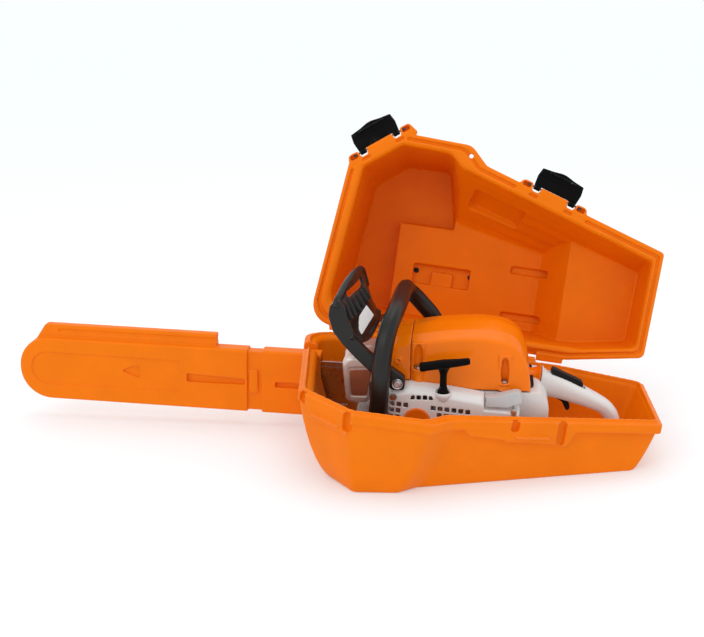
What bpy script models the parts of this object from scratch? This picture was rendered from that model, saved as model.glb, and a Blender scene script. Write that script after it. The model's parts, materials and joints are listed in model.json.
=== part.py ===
"""A chainsaw stowed in its open carrying case, with the bar in its scabbard.

Two frames are used. The floor frame has z up from the surface that the case stands on.
The rim frame lies in the parting plane of the case: its x runs along the lid hinge and
slopes down to the right, y runs away from the front, z leaves the base at right angles.
All lengths are in metres.
"""

import math

import bmesh
import bpy
from mathutils import Matrix, Vector

# ---- driving dimensions -------------------------------------------------------------
CASE_X = -0.0246  # the case's left front corner, from the middle of the whole object
CASE_Y = 0.0403  # the hinge axis, from the middle of the whole object
RIM_TILT = math.radians(6.8)  # slope of the parting plane, down to the right
HINGE_HEIGHT = 0.1285  # hinge axis above the floor at the case's left corner
LID_OPEN = math.radians(103.0)
WALL = 0.003  # moulded wall of the case
GAP = 0.0004  # half the gap in the parting plane
SKIRT = 0.0145  # height of the rim's outer band
LID_DEPTH = 0.182  # lid over the front handle
LID_MIDDLE = 0.152  # lid over the engine
LID_RIGHT = 0.082  # lid over the rear handle

BAR_Y = -0.083  # plane of the guide bar
BAR_TILT = math.radians(1.6)  # the bar's nose points up a little
CRANK = Vector((0.180, 0.0, 0.064))  # crankshaft axis, along y
BAR_NOSE = -0.345
BAR_HEIGHT = 0.058
BAR_THICK = 0.004
CHAIN_DEPTH = 0.009
CHAIN_WIDTH = 0.0062

SCABBARD_LEFT = -0.469
SCABBARD_RIGHT = 0.020
SCABBARD_HEIGHT = 0.100
SCABBARD_RISE = 0.0015  # its middle above the middle of the bar
SCABBARD_THICK = 0.027

HANDLE_SCREWS = (0.1235, 0.2155)  # of the lid's carry handle, along the hinge

GRIP = Vector((0.1940, -0.2335, 0.0))  # line of the starter rope
GUARD_PIVOT = Vector((0.1320, 0.0, 0.1330))  # axis of the hand guard, along y
STARTER_SCREWS = ((0.1260, 0.0262), (0.1262, 0.1130), (0.2555, 0.0262), (0.2900, 0.0985))
BAR_STUDS = (0.1080, 0.1300)
UP = Vector((0.0, 0.0, 1.0))
NEAR = Vector((0.0, -1.0, 0.0))

# Corners of the rim in the rim frame, from the rear left, with their fillet radii.
RIM_CORNERS = [
    ((-0.031, -0.008), 0.034),
    ((0.000, -0.266), 0.012),
    ((0.076, -0.322), 0.012),
    ((0.186, -0.316), 0.022),
    ((0.213, -0.288), 0.010),
    ((0.500, -0.192), 0.006),
    ((0.494, -0.028), 0.010),
    ((0.378, -0.008), 0.012),
]
# How far the body under the rim's band stands back from it, edge by edge.
BODY_INSETS = [0.003, 0.003, 0.003, 0.005, 0.009, 0.004, 0.003, 0.002]
LAND_INSETS = [0.022, 0.014, 0.013, 0.013, 0.013, 0.012, 0.012, 0.011]
# Corners of the base's foot on the floor.
FOOT_CORNERS = [
    ((0.040, -0.035), 0.030),
    ((0.046, -0.262), 0.020),
    ((0.080, -0.300), 0.016),
    ((0.157, -0.292), 0.014),
    ((0.194, -0.266), 0.014),
    ((0.462, -0.194), 0.012),
    ((0.456, -0.046), 0.014),
    ((0.378, -0.034), 0.012),
]
# Corners of the lid's crown at its full depth.
CROWN_CORNERS = [
    ((0.004, -0.030), 0.030),
    ((0.030, -0.240), 0.022),
    ((0.084, -0.284), 0.020),
    ((0.163, -0.284), 0.014),
    ((0.189, -0.150), 0.012),
    ((0.472, -0.112), 0.010),
    ((0.470, -0.045), 0.012),
    ((0.372, -0.028), 0.012),
]

PIN_RADIUS = 0.0022
KNUCKLE_RADIUS = 0.0058
# Sections along the filter hood and the shroud before it: x, height of the crown, of the crease.
HOOD_PROFILE = [
    (0.1480, 0.1905, 0.1780),
    (0.1750, 0.1950, 0.1820),
    (0.2030, 0.1980, 0.1860),
    (0.2350, 0.1975, 0.1870),
    (0.2620, 0.1940, 0.1860),
    (0.2860, 0.1860, 0.1790),
    (0.3020, 0.1690, 0.1600),
    (0.3150, 0.1460, 0.1400),
    (0.3350, 0.1280, 0.1250),
]
SHROUD_PROFILE = [(0.1050, 0.1840, 0.1730), (0.1220, 0.1870, 0.1755), (0.1475, 0.1905, 0.1780)]
SHROUD_ROOM = [(0.1078, 0.1845, 0.1735), (0.1220, 0.1870, 0.1755), (0.1600, 0.1922, 0.1795)]
# Heads of the hood's two fasteners.
FASTENERS = {"front": Vector((0.1585, -0.2085, 0.1490)), "rear": Vector((0.2770, -0.2060, 0.1320))}

COLOURS = {
    "orange": ((0.83, 0.19, 0.02), 0.38, 0.0),
    "black": ((0.012, 0.011, 0.011), 0.45, 0.0),
    "light_grey": ((0.72, 0.71, 0.69), 0.42, 0.0),
    "mid_grey": ((0.33, 0.34, 0.35), 0.45, 0.0),
    "steel": ((0.45, 0.45, 0.46), 0.32, 1.0),
    "aluminium": ((0.62, 0.62, 0.63), 0.40, 1.0),
    "muffler_steel": ((0.55, 0.47, 0.42), 0.35, 1.0),
    "filter": ((0.75, 0.72, 0.62), 0.90, 0.0),
    "label": ((0.80, 0.80, 0.78), 0.50, 0.0),
    "rope": ((0.55, 0.54, 0.50), 0.85, 0.0),
}


# ---- building blocks ----------------------------------------------------------------
def material(name):
    """The named Principled material, made on first use."""
    found = bpy.data.materials.get(name)
    if found:
        return found
    colour, roughness, metallic = COLOURS[name]
    made = bpy.data.materials.new(name)
    made.use_nodes = True
    shader = made.node_tree.nodes["Principled BSDF"]
    shader.inputs["Base Color"].default_value = (*colour, 1.0)
    shader.inputs["Roughness"].default_value = roughness
    shader.inputs["Metallic"].default_value = metallic
    return made


def empty(name, location, parent=None, rotation=(0.0, 0.0, 0.0)):
    guide = bpy.data.objects.new(name, None)
    guide.location = location
    guide.rotation_euler = rotation
    guide.parent = parent
    guide.empty_display_size = 0.02
    bpy.context.scene.collection.objects.link(guide)
    return guide


def solid(name, points, faces, colour, parent, smooth=35.0):
    """A closed mesh object with its faces pointing out."""
    mesh = bpy.data.meshes.new(name)
    mesh.from_pydata([tuple(p) for p in points], [], faces)
    shape = bmesh.new()
    shape.from_mesh(mesh)
    bmesh.ops.remove_doubles(shape, verts=shape.verts, dist=1e-6)
    bmesh.ops.recalc_face_normals(shape, faces=shape.faces)
    shape.to_mesh(mesh)
    shape.free()
    mesh.materials.append(material(colour))
    mesh.shade_smooth()
    mesh.set_sharp_from_angle(angle=math.radians(smooth))
    made = bpy.data.objects.new(name, mesh)
    made.parent = parent
    bpy.context.scene.collection.objects.link(made)
    return made


def loft(rings, split=False):
    """Points and faces of a closed skin through rings of equal count, capped at both ends.

    A split skin is made of triangles whose long sides all lean the same way, so that the
    two faces of a warped wall stay parallel.
    """
    count = len(rings[0])
    points = [p for ring in rings for p in ring]
    faces = [list(range(count)), [len(points) - 1 - i for i in range(count)]]
    for k in range(len(rings) - 1):
        rising = rings[k + 1][0][2] >= rings[k][0][2]
        for i in range(count):
            j = (i + 1) % count
            low, high = k * count, (k + 1) * count
            if not split:
                faces.append([low + i, low + j, high + j, high + i])
            elif rising:
                faces += [[low + i, low + j, high + j], [low + i, high + j, high + i]]
            else:
                faces += [[low + i, low + j, high + i], [low + j, high + j, high + i]]
    return points, faces


def hoop(rings):
    """Points and faces of a closed skin through rings that come back to the first one."""
    count = len(rings[0])
    points = [p for ring in rings for p in ring]
    faces = []
    for k in range(len(rings)):
        low, high = k * count, (k + 1) % len(rings) * count
        for i in range(count):
            j = (i + 1) % count
            faces.append([low + i, low + j, high + j, high + i])
    return points, faces


def inset(corners, distances):
    """The polygon with each edge moved in by its own distance. Edge i starts at corner i."""
    flat = [Vector(c) for c, _ in corners]
    area = sum(flat[i - 1].cross(flat[i]) for i in range(len(flat)))
    side = 1.0 if area > 0 else -1.0
    lines = []
    for i, start in enumerate(flat):
        along = (flat[(i + 1) % len(flat)] - start).normalized()
        inward = Vector((-along.y, along.x)) * side
        lines.append((start + inward * distances[i], along))
    moved = []
    for i, (_, radius) in enumerate(corners):
        (p, u), (q, v) = lines[i - 1], lines[i]
        t = (q - p).cross(v) / u.cross(v)
        moved.append((tuple(p + u * t), radius))
    return moved


def rounded(corners, steps=3):
    """The outline with each corner replaced by an arc of steps + 1 points."""
    flat = [Vector(c) for c, _ in corners]
    outline = []
    for i, corner in enumerate(flat):
        before = (flat[i - 1] - corner).normalized()
        after = (flat[(i + 1) % len(flat)] - corner).normalized()
        half = before.angle(after) / 2
        radius = corners[i][1]
        centre = corner + (before + after).normalized() * (radius / math.sin(half))
        first = corner + before * (radius / math.tan(half)) - centre
        last = corner + after * (radius / math.tan(half)) - centre
        turn = first.angle_signed(last)
        for k in range(steps + 1):
            arm = first.copy()
            arm.rotate(Matrix.Rotation(-turn * k / steps, 2))
            outline.append(tuple(centre + arm))
    return outline


def prism(outline, low, high, axis="y"):
    """Points and faces of an outline in x and z (or x and y) pulled between two planes."""
    if axis == "y":
        rings = [[(a, side, b) for a, b in outline] for side in (low, high)]
    elif axis == "x":
        rings = [[(side, a, b) for a, b in outline] for side in (low, high)]
    else:
        rings = [[(a, b, side) for a, b in outline] for side in (low, high)]
    return loft(rings)


def block(low, high):
    """Points and faces of a box between two corners."""
    (x0, y0, z0), (x1, y1, z1) = low, high
    return prism([(x0, z0), (x1, z0), (x1, z1), (x0, z1)], y0, y1)


def turned(profile, centre, direction, segments=24):
    """Points and faces of a closed (radius, distance) profile turned about an axis."""
    axis = Vector(direction).normalized()
    side = axis.orthogonal().normalized()
    other = axis.cross(side)
    rings = []
    for radius, along in profile:
        ring = []
        for i in range(segments):
            angle = math.tau * (i + 0.5) / segments
            arm = side * math.cos(angle) + other * math.sin(angle)
            ring.append(Vector(centre) + axis * along + arm * radius)
        rings.append(ring)
    return rings


def rod(radius, start, end, segments=20):
    """Points and faces of a round bar between two points."""
    start, end = Vector(start), Vector(end)
    length = (end - start).length
    return loft(turned([(radius, 0.0), (radius, length)], start, end - start, segments))


def tube_path(route, radius, segments=14):
    """Points and faces of a round bar along a route of points, capped at both ends."""
    route = [Vector(p) for p in route]
    rings = []
    side = None
    for i, point in enumerate(route):
        ahead = route[min(i + 1, len(route) - 1)]
        behind = route[max(i - 1, 0)]
        along = (ahead - behind).normalized()
        if side is None:
            side = along.orthogonal().normalized()
        side = (side - along * side.dot(along)).normalized()
        other = along.cross(side)
        ring = []
        for k in range(segments):
            angle = math.tau * k / segments
            ring.append(point + (side * math.cos(angle) + other * math.sin(angle)) * radius)
        rings.append(ring)
    return loft(rings)


def smooth_route(route, per_span=4):
    """Points of a Catmull-Rom curve through a route."""
    route = [Vector(p) for p in route]
    ends = [route[0] * 2 - route[1], *route, route[-1] * 2 - route[-2]]
    found = []
    for i in range(1, len(ends) - 2):
        a, b, c, d = ends[i - 1 : i + 3]
        for k in range(per_span):
            t = k / per_span
            found.append(
                0.5
                * (
                    2 * b
                    + (c - a) * t
                    + (2 * a - 5 * b + 4 * c - d) * t * t
                    + (3 * b - a - 3 * c + d) * t * t * t
                )
            )
    found.append(route[-1])
    return found


def numbered(name, shapes, colour, parent):
    """One object for each shape, named in order."""
    return [solid(f"{name}_{k}", *shape, colour, parent) for k, shape in enumerate(shapes, 1)]


def moved(shape, matrix):
    points, faces = shape
    return [matrix @ Vector(p) for p in points], faces


def combine(target, shapes, operation):
    """Joins shapes to the target, or cuts them from it, and keeps the result as its mesh."""
    helpers = []
    for shape in shapes:
        helper = solid("helper", *shape, target.data.materials[0].name, target.parent)
        helper.hide_render = True
        helper.display_type = "WIRE"
        helper.matrix_basis = target.matrix_basis
        modifier = target.modifiers.new("combine", "BOOLEAN")
        modifier.operation = operation
        modifier.solver = "EXACT"
        modifier.object = helper
        helpers.append(helper)
    bpy.context.view_layer.update()
    graph = bpy.context.evaluated_depsgraph_get()
    mesh = bpy.data.meshes.new_from_object(target.evaluated_get(graph))
    target.modifiers.clear()
    shape = bmesh.new()
    shape.from_mesh(mesh)
    bmesh.ops.dissolve_degenerate(shape, edges=shape.edges, dist=5e-6)
    bmesh.ops.remove_doubles(shape, verts=shape.verts, dist=5e-6)
    shape.to_mesh(mesh)
    shape.free()
    old = target.data
    target.data = mesh
    bpy.data.meshes.remove(old)
    for helper in helpers:
        spare = helper.data
        bpy.data.objects.remove(helper)
        bpy.data.meshes.remove(spare)
    mesh.name = target.name
    mesh.set_sharp_from_angle(angle=math.radians(35.0))
    return target


def cut(target, *shapes):
    return combine(target, shapes, "DIFFERENCE")


def join(target, *shapes):
    return combine(target, shapes, "UNION")


def carved(shape, shapes):
    """A shape with others cut from it, for use as a cutter itself."""
    helper = solid("carved", *shape, "orange", None)
    cut(helper, *shapes)
    points = [v.co.copy() for v in helper.data.vertices]
    faces = [list(p.vertices) for p in helper.data.polygons]
    bpy.data.objects.remove(helper)
    return points, faces


def set_origin(target, point):
    """Moves a piece's origin to a point on its joint's axis, and leaves its shape in place."""
    target.data.transform(Matrix.Translation(-Vector(point)))
    target.location = Vector(point)
    return target


# ---- frames -------------------------------------------------------------------------
def rim(x, y, z):
    """A point of the rim frame, in the floor frame."""
    turn = Matrix.Rotation(RIM_TILT, 3, "Y")
    return turn @ Vector((x, y, z)) + Vector((0.0, 0.0, HINGE_HEIGHT))


def edge_frame(first, second, share):
    """Rim-frame matrix on one rim edge: x along the edge, y outwards, z up from the rim."""
    start, end = Vector(first).to_3d(), Vector(second).to_3d()
    along = (end - start).normalized()
    up = Vector((0.0, 0.0, 1.0))
    outward = along.cross(up)
    if outward.y > 0:
        along, outward = -along, -outward
    basis = Matrix((-along, outward, up)).transposed().to_4x4()
    return Matrix.Translation(start.lerp(end, share)) @ basis


LATCH_FRAMES = {
    "left": edge_frame(RIM_CORNERS[1][0], RIM_CORNERS[2][0], 0.5),
    "right": edge_frame(RIM_CORNERS[4][0], RIM_CORNERS[5][0], 0.38),
}
HINGE_MIDDLES = {"left": 0.075, "right": 0.300}


# ---- carrying case ------------------------------------------------------------------
def flare(share, straight):
    """How far a wall has turned in at a share of its depth, both from 0 to 1."""
    return straight * share + (1 - straight) * (1 - math.sqrt(max(0.0, 1 - share * share)))


def wall_rings(top, foot, straights, shares, bottom):
    """Rings down a wall from the rim to the foot, whose height is bottom."""
    rings = []
    for share in shares:
        ring = []
        for i, (high, low) in enumerate(zip(top, foot)):
            turn = flare(share, straights[i])
            x = high[0] + (low[0] - high[0]) * turn
            y = high[1] + (low[1] - high[1]) * turn
            ring.append((x, y, high[2] + (bottom - high[2]) * share))
        rings.append(ring)
    return rings


def per_point(values, steps=3):
    return [value for value in values for _ in range(steps + 1)]


def knuckle(middle, half_width, above):
    """A hinge knuckle around the hinge axis, with its web towards the rim."""
    barrel = loft(
        turned([(KNUCKLE_RADIUS, -half_width), (KNUCKLE_RADIUS, half_width)], (middle, 0, 0), (1, 0, 0), 16)
    )
    low, high = (0.0010, 0.0055) if above else (-0.0055, -0.0010)
    web_half = half_width - 0.0005
    web = block((middle - web_half, -0.0125, low), (middle + web_half, -0.001, high))
    return barrel, web


def knuckle_bore(middle):
    return rod(PIN_RADIUS + 0.0003, (middle - 0.04, 0, 0), (middle + 0.04, 0, 0), 16)


def make_base(floor):
    """The lower shell, one moulding with the catches, hinge knuckles and saw rests."""
    body = inset(RIM_CORNERS, BODY_INSETS)
    inner = inset(body, [WALL] * 8)
    foot = rounded(FOOT_CORNERS)
    inner_foot = rounded(inset(FOOT_CORNERS, [WALL] * 8))
    rim_outline = rounded(RIM_CORNERS)
    straights = per_point([0.25, 0.25, 0.45, 0.60, 0.60, 0.75, 0.75, 0.60])
    shares = [1.0, 0.97, 0.87, 0.66, 0.36, 0.0]

    def level(outline, z):
        return [rim(x, y, z) for x, y in outline]

    outer = wall_rings(level(rounded(body), -SKIRT), foot, straights, shares, 0.0)
    tongue_out = rounded(inset(RIM_CORNERS, [0.0065] * 8))
    tongue_in = rounded(inset(RIM_CORNERS, [0.0095] * 8))
    land = rounded(inset(RIM_CORNERS, LAND_INSETS))
    crown = [
        level(rim_outline, -SKIRT),
        level(rim_outline, -GAP),
        level(tongue_out, -GAP),
        level(tongue_out, 0.0034),
        level(tongue_in, 0.0034),
        level(tongue_in, -GAP),
        level(land, -GAP),
        level(land, -0.0045),
    ]
    inside = wall_rings(
        level(rounded(inner), -0.0045), inner_foot, straights, list(reversed(shares)), WALL
    )
    base = solid("case_base", *loft(outer + crown + inside, split=True), "orange", floor)
    to_floor = Matrix.Translation((0, 0, HINGE_HEIGHT)) @ Matrix.Rotation(RIM_TILT, 4, "Y")
    extras = [
        block((0.085, -0.245, 0.0015), (0.093, -0.060, 0.0101)),
        block((0.305, -0.205, 0.0015), (0.313, -0.060, 0.0101)),
    ]
    for frame in LATCH_FRAMES.values():
        panel = block((-0.037, -0.013, -0.031), (0.037, 0.0002, -0.006))
        lip = block((-0.024, -0.005, -0.0248), (0.024, 0.0042, -0.0205))
        extras += [moved(panel, to_floor @ frame), moved(lip, to_floor @ frame)]
    for middle in HINGE_MIDDLES.values():
        for side in (-1, 1):
            barrel, web = knuckle(middle + side * 0.0210, 0.0090, above=False)
            extras += [moved(barrel, to_floor), moved(web, to_floor)]
    join(base, *extras)
    slot_low = (-0.08, BAR_Y - SCABBARD_THICK / 2 - 0.0012, 0.014)
    slot_high = (0.026, BAR_Y + SCABBARD_THICK / 2 + 0.0012, 0.160)
    tools = [block(slot_low, slot_high)]
    for middle in HINGE_MIDDLES.values():
        tools.append(moved(knuckle_bore(middle), to_floor))
        lid_room = block((middle - 0.0117, -0.0145, -0.008), (middle + 0.0117, 0.010, 0.006))
        tools.append(moved(lid_room, to_floor))
    return cut(base, *tools)


def crown_steps(extra):
    """Cutters that lower the lid's crown over the engine and the rear handle."""
    middle, right = LID_MIDDLE - extra, LID_RIGHT - extra
    high = LID_DEPTH + 0.03
    shelf = [
        (0.092 - extra, 0.05),
        (0.092 - extra, -0.178 - extra),
        (0.183 - extra, -0.178 - extra),
        (0.183 - extra, -0.35),
        (0.56, -0.35),
        (0.56, 0.05),
    ]
    slope = [
        (0.3276 - extra, middle + 0.014),
        (0.3720 - extra, right),
        (0.57, right),
        (0.57, high + 0.01),
        (0.3276 - extra, high + 0.01),
    ]
    return [prism(shelf, middle, high, "z"), prism(slope, -0.36, 0.06)]


def make_lid(pivot):
    """The upper shell, with its rim, hinge knuckles, latch lugs and handle boss."""
    body = inset(RIM_CORNERS, BODY_INSETS)
    rim_outline = rounded(RIM_CORNERS)
    straights = per_point([0.60, 0.60, 0.75, 0.75, 0.48, 0.58, 0.75, 0.75])
    shares = [1.0, 0.98, 0.90, 0.62, 0.0]

    def level(outline, z):
        return [(x, y, z) for x, y in outline]

    top = level(rounded(body), SKIRT)
    outer = wall_rings(top, rounded(CROWN_CORNERS), straights, shares, LID_DEPTH)
    groove_out = rounded(inset(RIM_CORNERS, [0.0057] * 8))
    groove_in = rounded(inset(RIM_CORNERS, [0.0103] * 8))
    land = rounded(inset(RIM_CORNERS, LAND_INSETS))
    inner = rounded(inset(body, [WALL] * 8))
    crown = [
        level(rim_outline, SKIRT),
        level(rim_outline, GAP),
        level(groove_out, GAP),
        level(groove_out, 0.0044),
        level(groove_in, 0.0044),
        level(groove_in, GAP),
    ]
    lid = solid("case_lid", *loft(outer + crown, split=True), "orange", pivot)
    cut(lid, *crown_steps(0.0))
    inner_crown = rounded(inset(CROWN_CORNERS, [WALL] * 8))
    rings = wall_rings(
        level(inner, 0.0050), inner_crown, straights, list(reversed(shares)), LID_DEPTH - WALL
    )
    mouth = [level(land, -0.002), level(land, 0.0050)]
    hollow = carved(loft(mouth + rings, split=True), crown_steps(WALL))
    boss = block((0.115, -0.130, LID_MIDDLE - 0.002), (0.224, -0.086, LID_MIDDLE + 0.010))
    extras = [boss]
    for frame in LATCH_FRAMES.values():
        for side in (-1, 1):
            lug = block((0.0370, -0.006, GAP), (0.0520, 0.0085, 0.0130))
            turn = Matrix.Scale(side, 4, (1, 0, 0))
            extras.append(moved(lug, frame @ turn))
    for middle in HINGE_MIDDLES.values():
        extras += knuckle(middle, 0.0112, above=True)
    join(lid, *extras)
    tools = [hollow, block((0.119, -0.126, LID_MIDDLE - 0.012), (0.220, -0.090, LID_MIDDLE + 0.007))]
    for x in HANDLE_SCREWS:
        tools.append(rod(0.0022, (x, -0.108, LID_MIDDLE), (x, -0.108, LID_MIDDLE + 0.02), 12))
    for frame in LATCH_FRAMES.values():
        bore = rod(0.0018, (-0.0455, 0.004, 0.006), (0.0455, 0.004, 0.006), 12)
        tools.append(moved(bore, frame))
    for middle in HINGE_MIDDLES.values():
        tools.append(knuckle_bore(middle))
        for side in (-1, 1):
            centre = middle + side * 0.0210
            tools.append(block((centre - 0.0095, -0.0145, -0.006), (centre + 0.0095, 0.010, 0.008)))
    return cut(lid, *tools)


def make_hinge_pins(rim_frame):
    for side, middle in HINGE_MIDDLES.items():
        shape = rod(PIN_RADIUS, (middle - 0.0315, 0, 0), (middle + 0.0315, 0, 0), 16)
        solid("hinge_pin_" + side, *shape, "steel", rim_frame)


def make_carry_handle(pivot):
    """The bow handle on the lid's crown, and the two screws that hold it from inside."""
    foot = LID_MIDDLE + 0.0103
    arch = [
        ((0.104, foot), 0.003),
        ((0.109, foot + 0.030), 0.016),
        ((0.126, foot + 0.043), 0.030),
        ((0.213, foot + 0.043), 0.030),
        ((0.230, foot + 0.030), 0.016),
        ((0.235, foot), 0.003),
        ((0.209, foot), 0.002),
        ((0.207, foot + 0.022), 0.010),
        ((0.132, foot + 0.022), 0.010),
        ((0.130, foot), 0.002),
    ]
    handle = solid("carry_handle", *prism(rounded(arch), -0.121, -0.095), "black", pivot)
    bores = []
    screws = []
    for x in HANDLE_SCREWS:
        bores.append(rod(0.0022, (x, -0.108, foot - 0.002), (x, -0.108, foot + 0.014), 12))
        profile = [(0.0045, 0.0), (0.0045, 0.0030), (0.0019, 0.0030), (0.0019, 0.018)]
        screws.append(loft(turned(profile, (x, -0.108, foot - 0.0069), (0, 0, 1), 12)))
    cut(handle, *bores)
    numbered("carry_handle_screw", screws, "black", pivot)


def latch_plate():
    """The latch in its edge frame, swung open: x along the edge, y outwards."""
    plan = [
        ((-0.0340, 0.0010), 0.001),
        ((-0.0360, 0.0280), 0.003),
        ((-0.0335, 0.0385), 0.003),
        ((0.0000, 0.0425), 0.060),
        ((0.0335, 0.0385), 0.003),
        ((0.0360, 0.0280), 0.003),
        ((0.0340, 0.0010), 0.001),
        ((0.0240, 0.0010), 0.001),
        ((0.0225, 0.0125), 0.002),
        ((-0.0225, 0.0125), 0.002),
        ((-0.0240, 0.0010), 0.001),
    ]
    return prism(rounded(plan, 2), 0.0085, 0.0125, "z")


def make_latch(side, pivot):
    """One latch, its pivot pin, and the hook that catches under the base's lip."""
    frame = LATCH_FRAMES[side]
    latch = solid("latch_" + side, *moved(latch_plate(), frame), "black", pivot)
    barrels = []
    for sign in (-1, 1):
        ends = sorted((sign * 0.0245, sign * 0.0338))
        barrels.append(rod(0.0036, (ends[0], 0.004, 0.006), (ends[1], 0.004, 0.006), 14))
        low = (ends[0] + 0.0003, 0.0015, 0.006)
        barrels.append(block(low, (ends[1] - 0.0003, 0.0065, 0.0095)))
    hook = prism([(0.0355, 0.0090), (0.0385, 0.0090), (0.0385, 0.0035), (0.0355, 0.0035)], -0.022, 0.022, "x")
    join(latch, *[moved(b, frame) for b in barrels], moved(hook, frame))
    bore = rod(0.0018, (-0.040, 0.004, 0.006), (0.040, 0.004, 0.006), 12)
    cut(latch, moved(bore, frame))
    pin = rod(0.0014, (-0.0445, 0.004, 0.006), (0.0445, 0.004, 0.006), 12)
    solid("latch_pin_" + side, *moved(pin, frame), "steel", pivot)
    return set_origin(latch, frame @ Vector((0, 0.004, 0.006)))


# ---- chainsaw: cutting gear ---------------------------------------------------------
def bar_frame():
    """Floor-frame matrix with its origin on the crankshaft and x along the bar, nose at -x."""
    return Matrix.Translation((CRANK.x, BAR_Y, CRANK.z)) @ Matrix.Rotation(BAR_TILT, 4, "Y")


def bar_outline(nose, half, tail):
    """Outline in x and z with a half-round nose at the left and the given tail points."""
    outline = []
    for k in range(13):
        angle = math.pi / 2 + math.pi * k / 12
        outline.append((nose + half + half * math.cos(angle), half * math.sin(angle)))
    return outline + tail


def chain_outline(nose, half, radius):
    """Outline in x and z around the bar and, at the right, around the sprocket."""
    tail = [(-0.058, -half)]
    for k in range(9):
        angle = math.radians(-100 + 25 * k)
        tail.append((radius * math.cos(angle), radius * math.sin(angle)))
    return bar_outline(nose, half, tail + [(-0.058, half)])


def make_cutting_gear(saw):
    """The guide bar, its chain as a closed band, and the clutch drum with its sprocket."""
    place = bar_frame()
    nose, half = BAR_NOSE - CRANK.x, BAR_HEIGHT / 2
    outline = bar_outline(nose, half, [(-0.060, -half), (-0.030, -0.016), (-0.030, 0.016), (-0.060, half)])
    bar = prism(outline, -BAR_THICK / 2, BAR_THICK / 2)
    bar = solid("guide_bar", *moved(bar, place), "steel", saw)
    cut(bar, moved(block((-0.090, -0.01, -0.0044), (-0.039, 0.01, 0.0044)), place))
    inner = chain_outline(nose - 0.0006, half + 0.0006, 0.0188)
    outer = chain_outline(nose - CHAIN_DEPTH, half + CHAIN_DEPTH, 0.0188 + CHAIN_DEPTH)
    rings = []
    for outline, side in ((outer, -1), (outer, 1), (inner, 1), (inner, -1)):
        rings.append([(x, side * CHAIN_WIDTH / 2, z) for x, z in outline])
    solid("saw_chain", *moved(hoop(rings), place), "steel", saw)
    centre = Vector((CRANK.x, BAR_Y, CRANK.z))
    teeth = []
    for k in range(7):
        for radius, share in ((0.0130, 0.0), (0.0178, 0.25), (0.0178, 0.55), (0.0130, 0.8)):
            angle = math.tau * (k + share) / 7
            teeth.append((centre.x + radius * math.cos(angle), centre.z + radius * math.sin(angle)))
    drum = solid("clutch_drum", *prism(teeth, BAR_Y - 0.003, BAR_Y + 0.0035), "steel", saw)
    profile = [(0.0325, 0.0), (0.0325, 0.019), (0.0300, 0.019), (0.0300, 0.003)]
    cup = loft(turned(profile, centre + Vector((0, 0.0055, 0)), (0, 1, 0), 28))
    hub = rod(0.0110, centre + Vector((0, 0.001, 0)), centre + Vector((0, 0.0075, 0)), 20)
    join(drum, hub, cup)
    cut(drum, rod(0.0066, centre + Vector((0, -0.02, 0)), centre + Vector((0, 0.04, 0)), 20))
    set_origin(drum, centre)


def make_scabbard(saw):
    """The hollow bar cover, open at its right end, with the raised strip along its top."""
    place = bar_frame() @ Matrix.Translation((0, 0, SCABBARD_RISE))
    left, right = SCABBARD_LEFT - CRANK.x, SCABBARD_RIGHT - CRANK.x
    half, thick = SCABBARD_HEIGHT / 2, SCABBARD_THICK / 2

    def shape(margin, reach):
        corners = [
            ((left + margin, -half + margin), (half - margin) * 0.97),
            ((left + margin, half - margin), (half - margin) * 0.97),
            ((right + reach, half - margin), 0.002),
            ((right + reach, -half + margin), 0.002),
        ]
        return rounded(corners, 8)

    shell = solid("bar_scabbard", *moved(prism(shape(0, 0), -thick, thick), place), "orange", saw)
    strip = [
        ((left + 0.0140, half - 0.024), 0.002),
        ((left + 0.0430, half + 0.021), 0.006),
        ((left + 0.3180, half + 0.021), 0.004),
        ((left + 0.3180, half - 0.006), 0.002),
    ]
    band_low = (left + 0.360, -thick - 0.0015, -half - 0.0015)
    band_high = (left + 0.378, thick + 0.0015, half + 0.0015)
    extras = [prism(rounded(strip, 2), -0.0065, 0.0065), block(band_low, band_high)]
    join(shell, *[moved(extra, place) for extra in extras])
    room = prism(shape(0.003, 0.05), -thick + 0.003, thick - 0.003)
    return cut(shell, moved(room, place))


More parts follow.
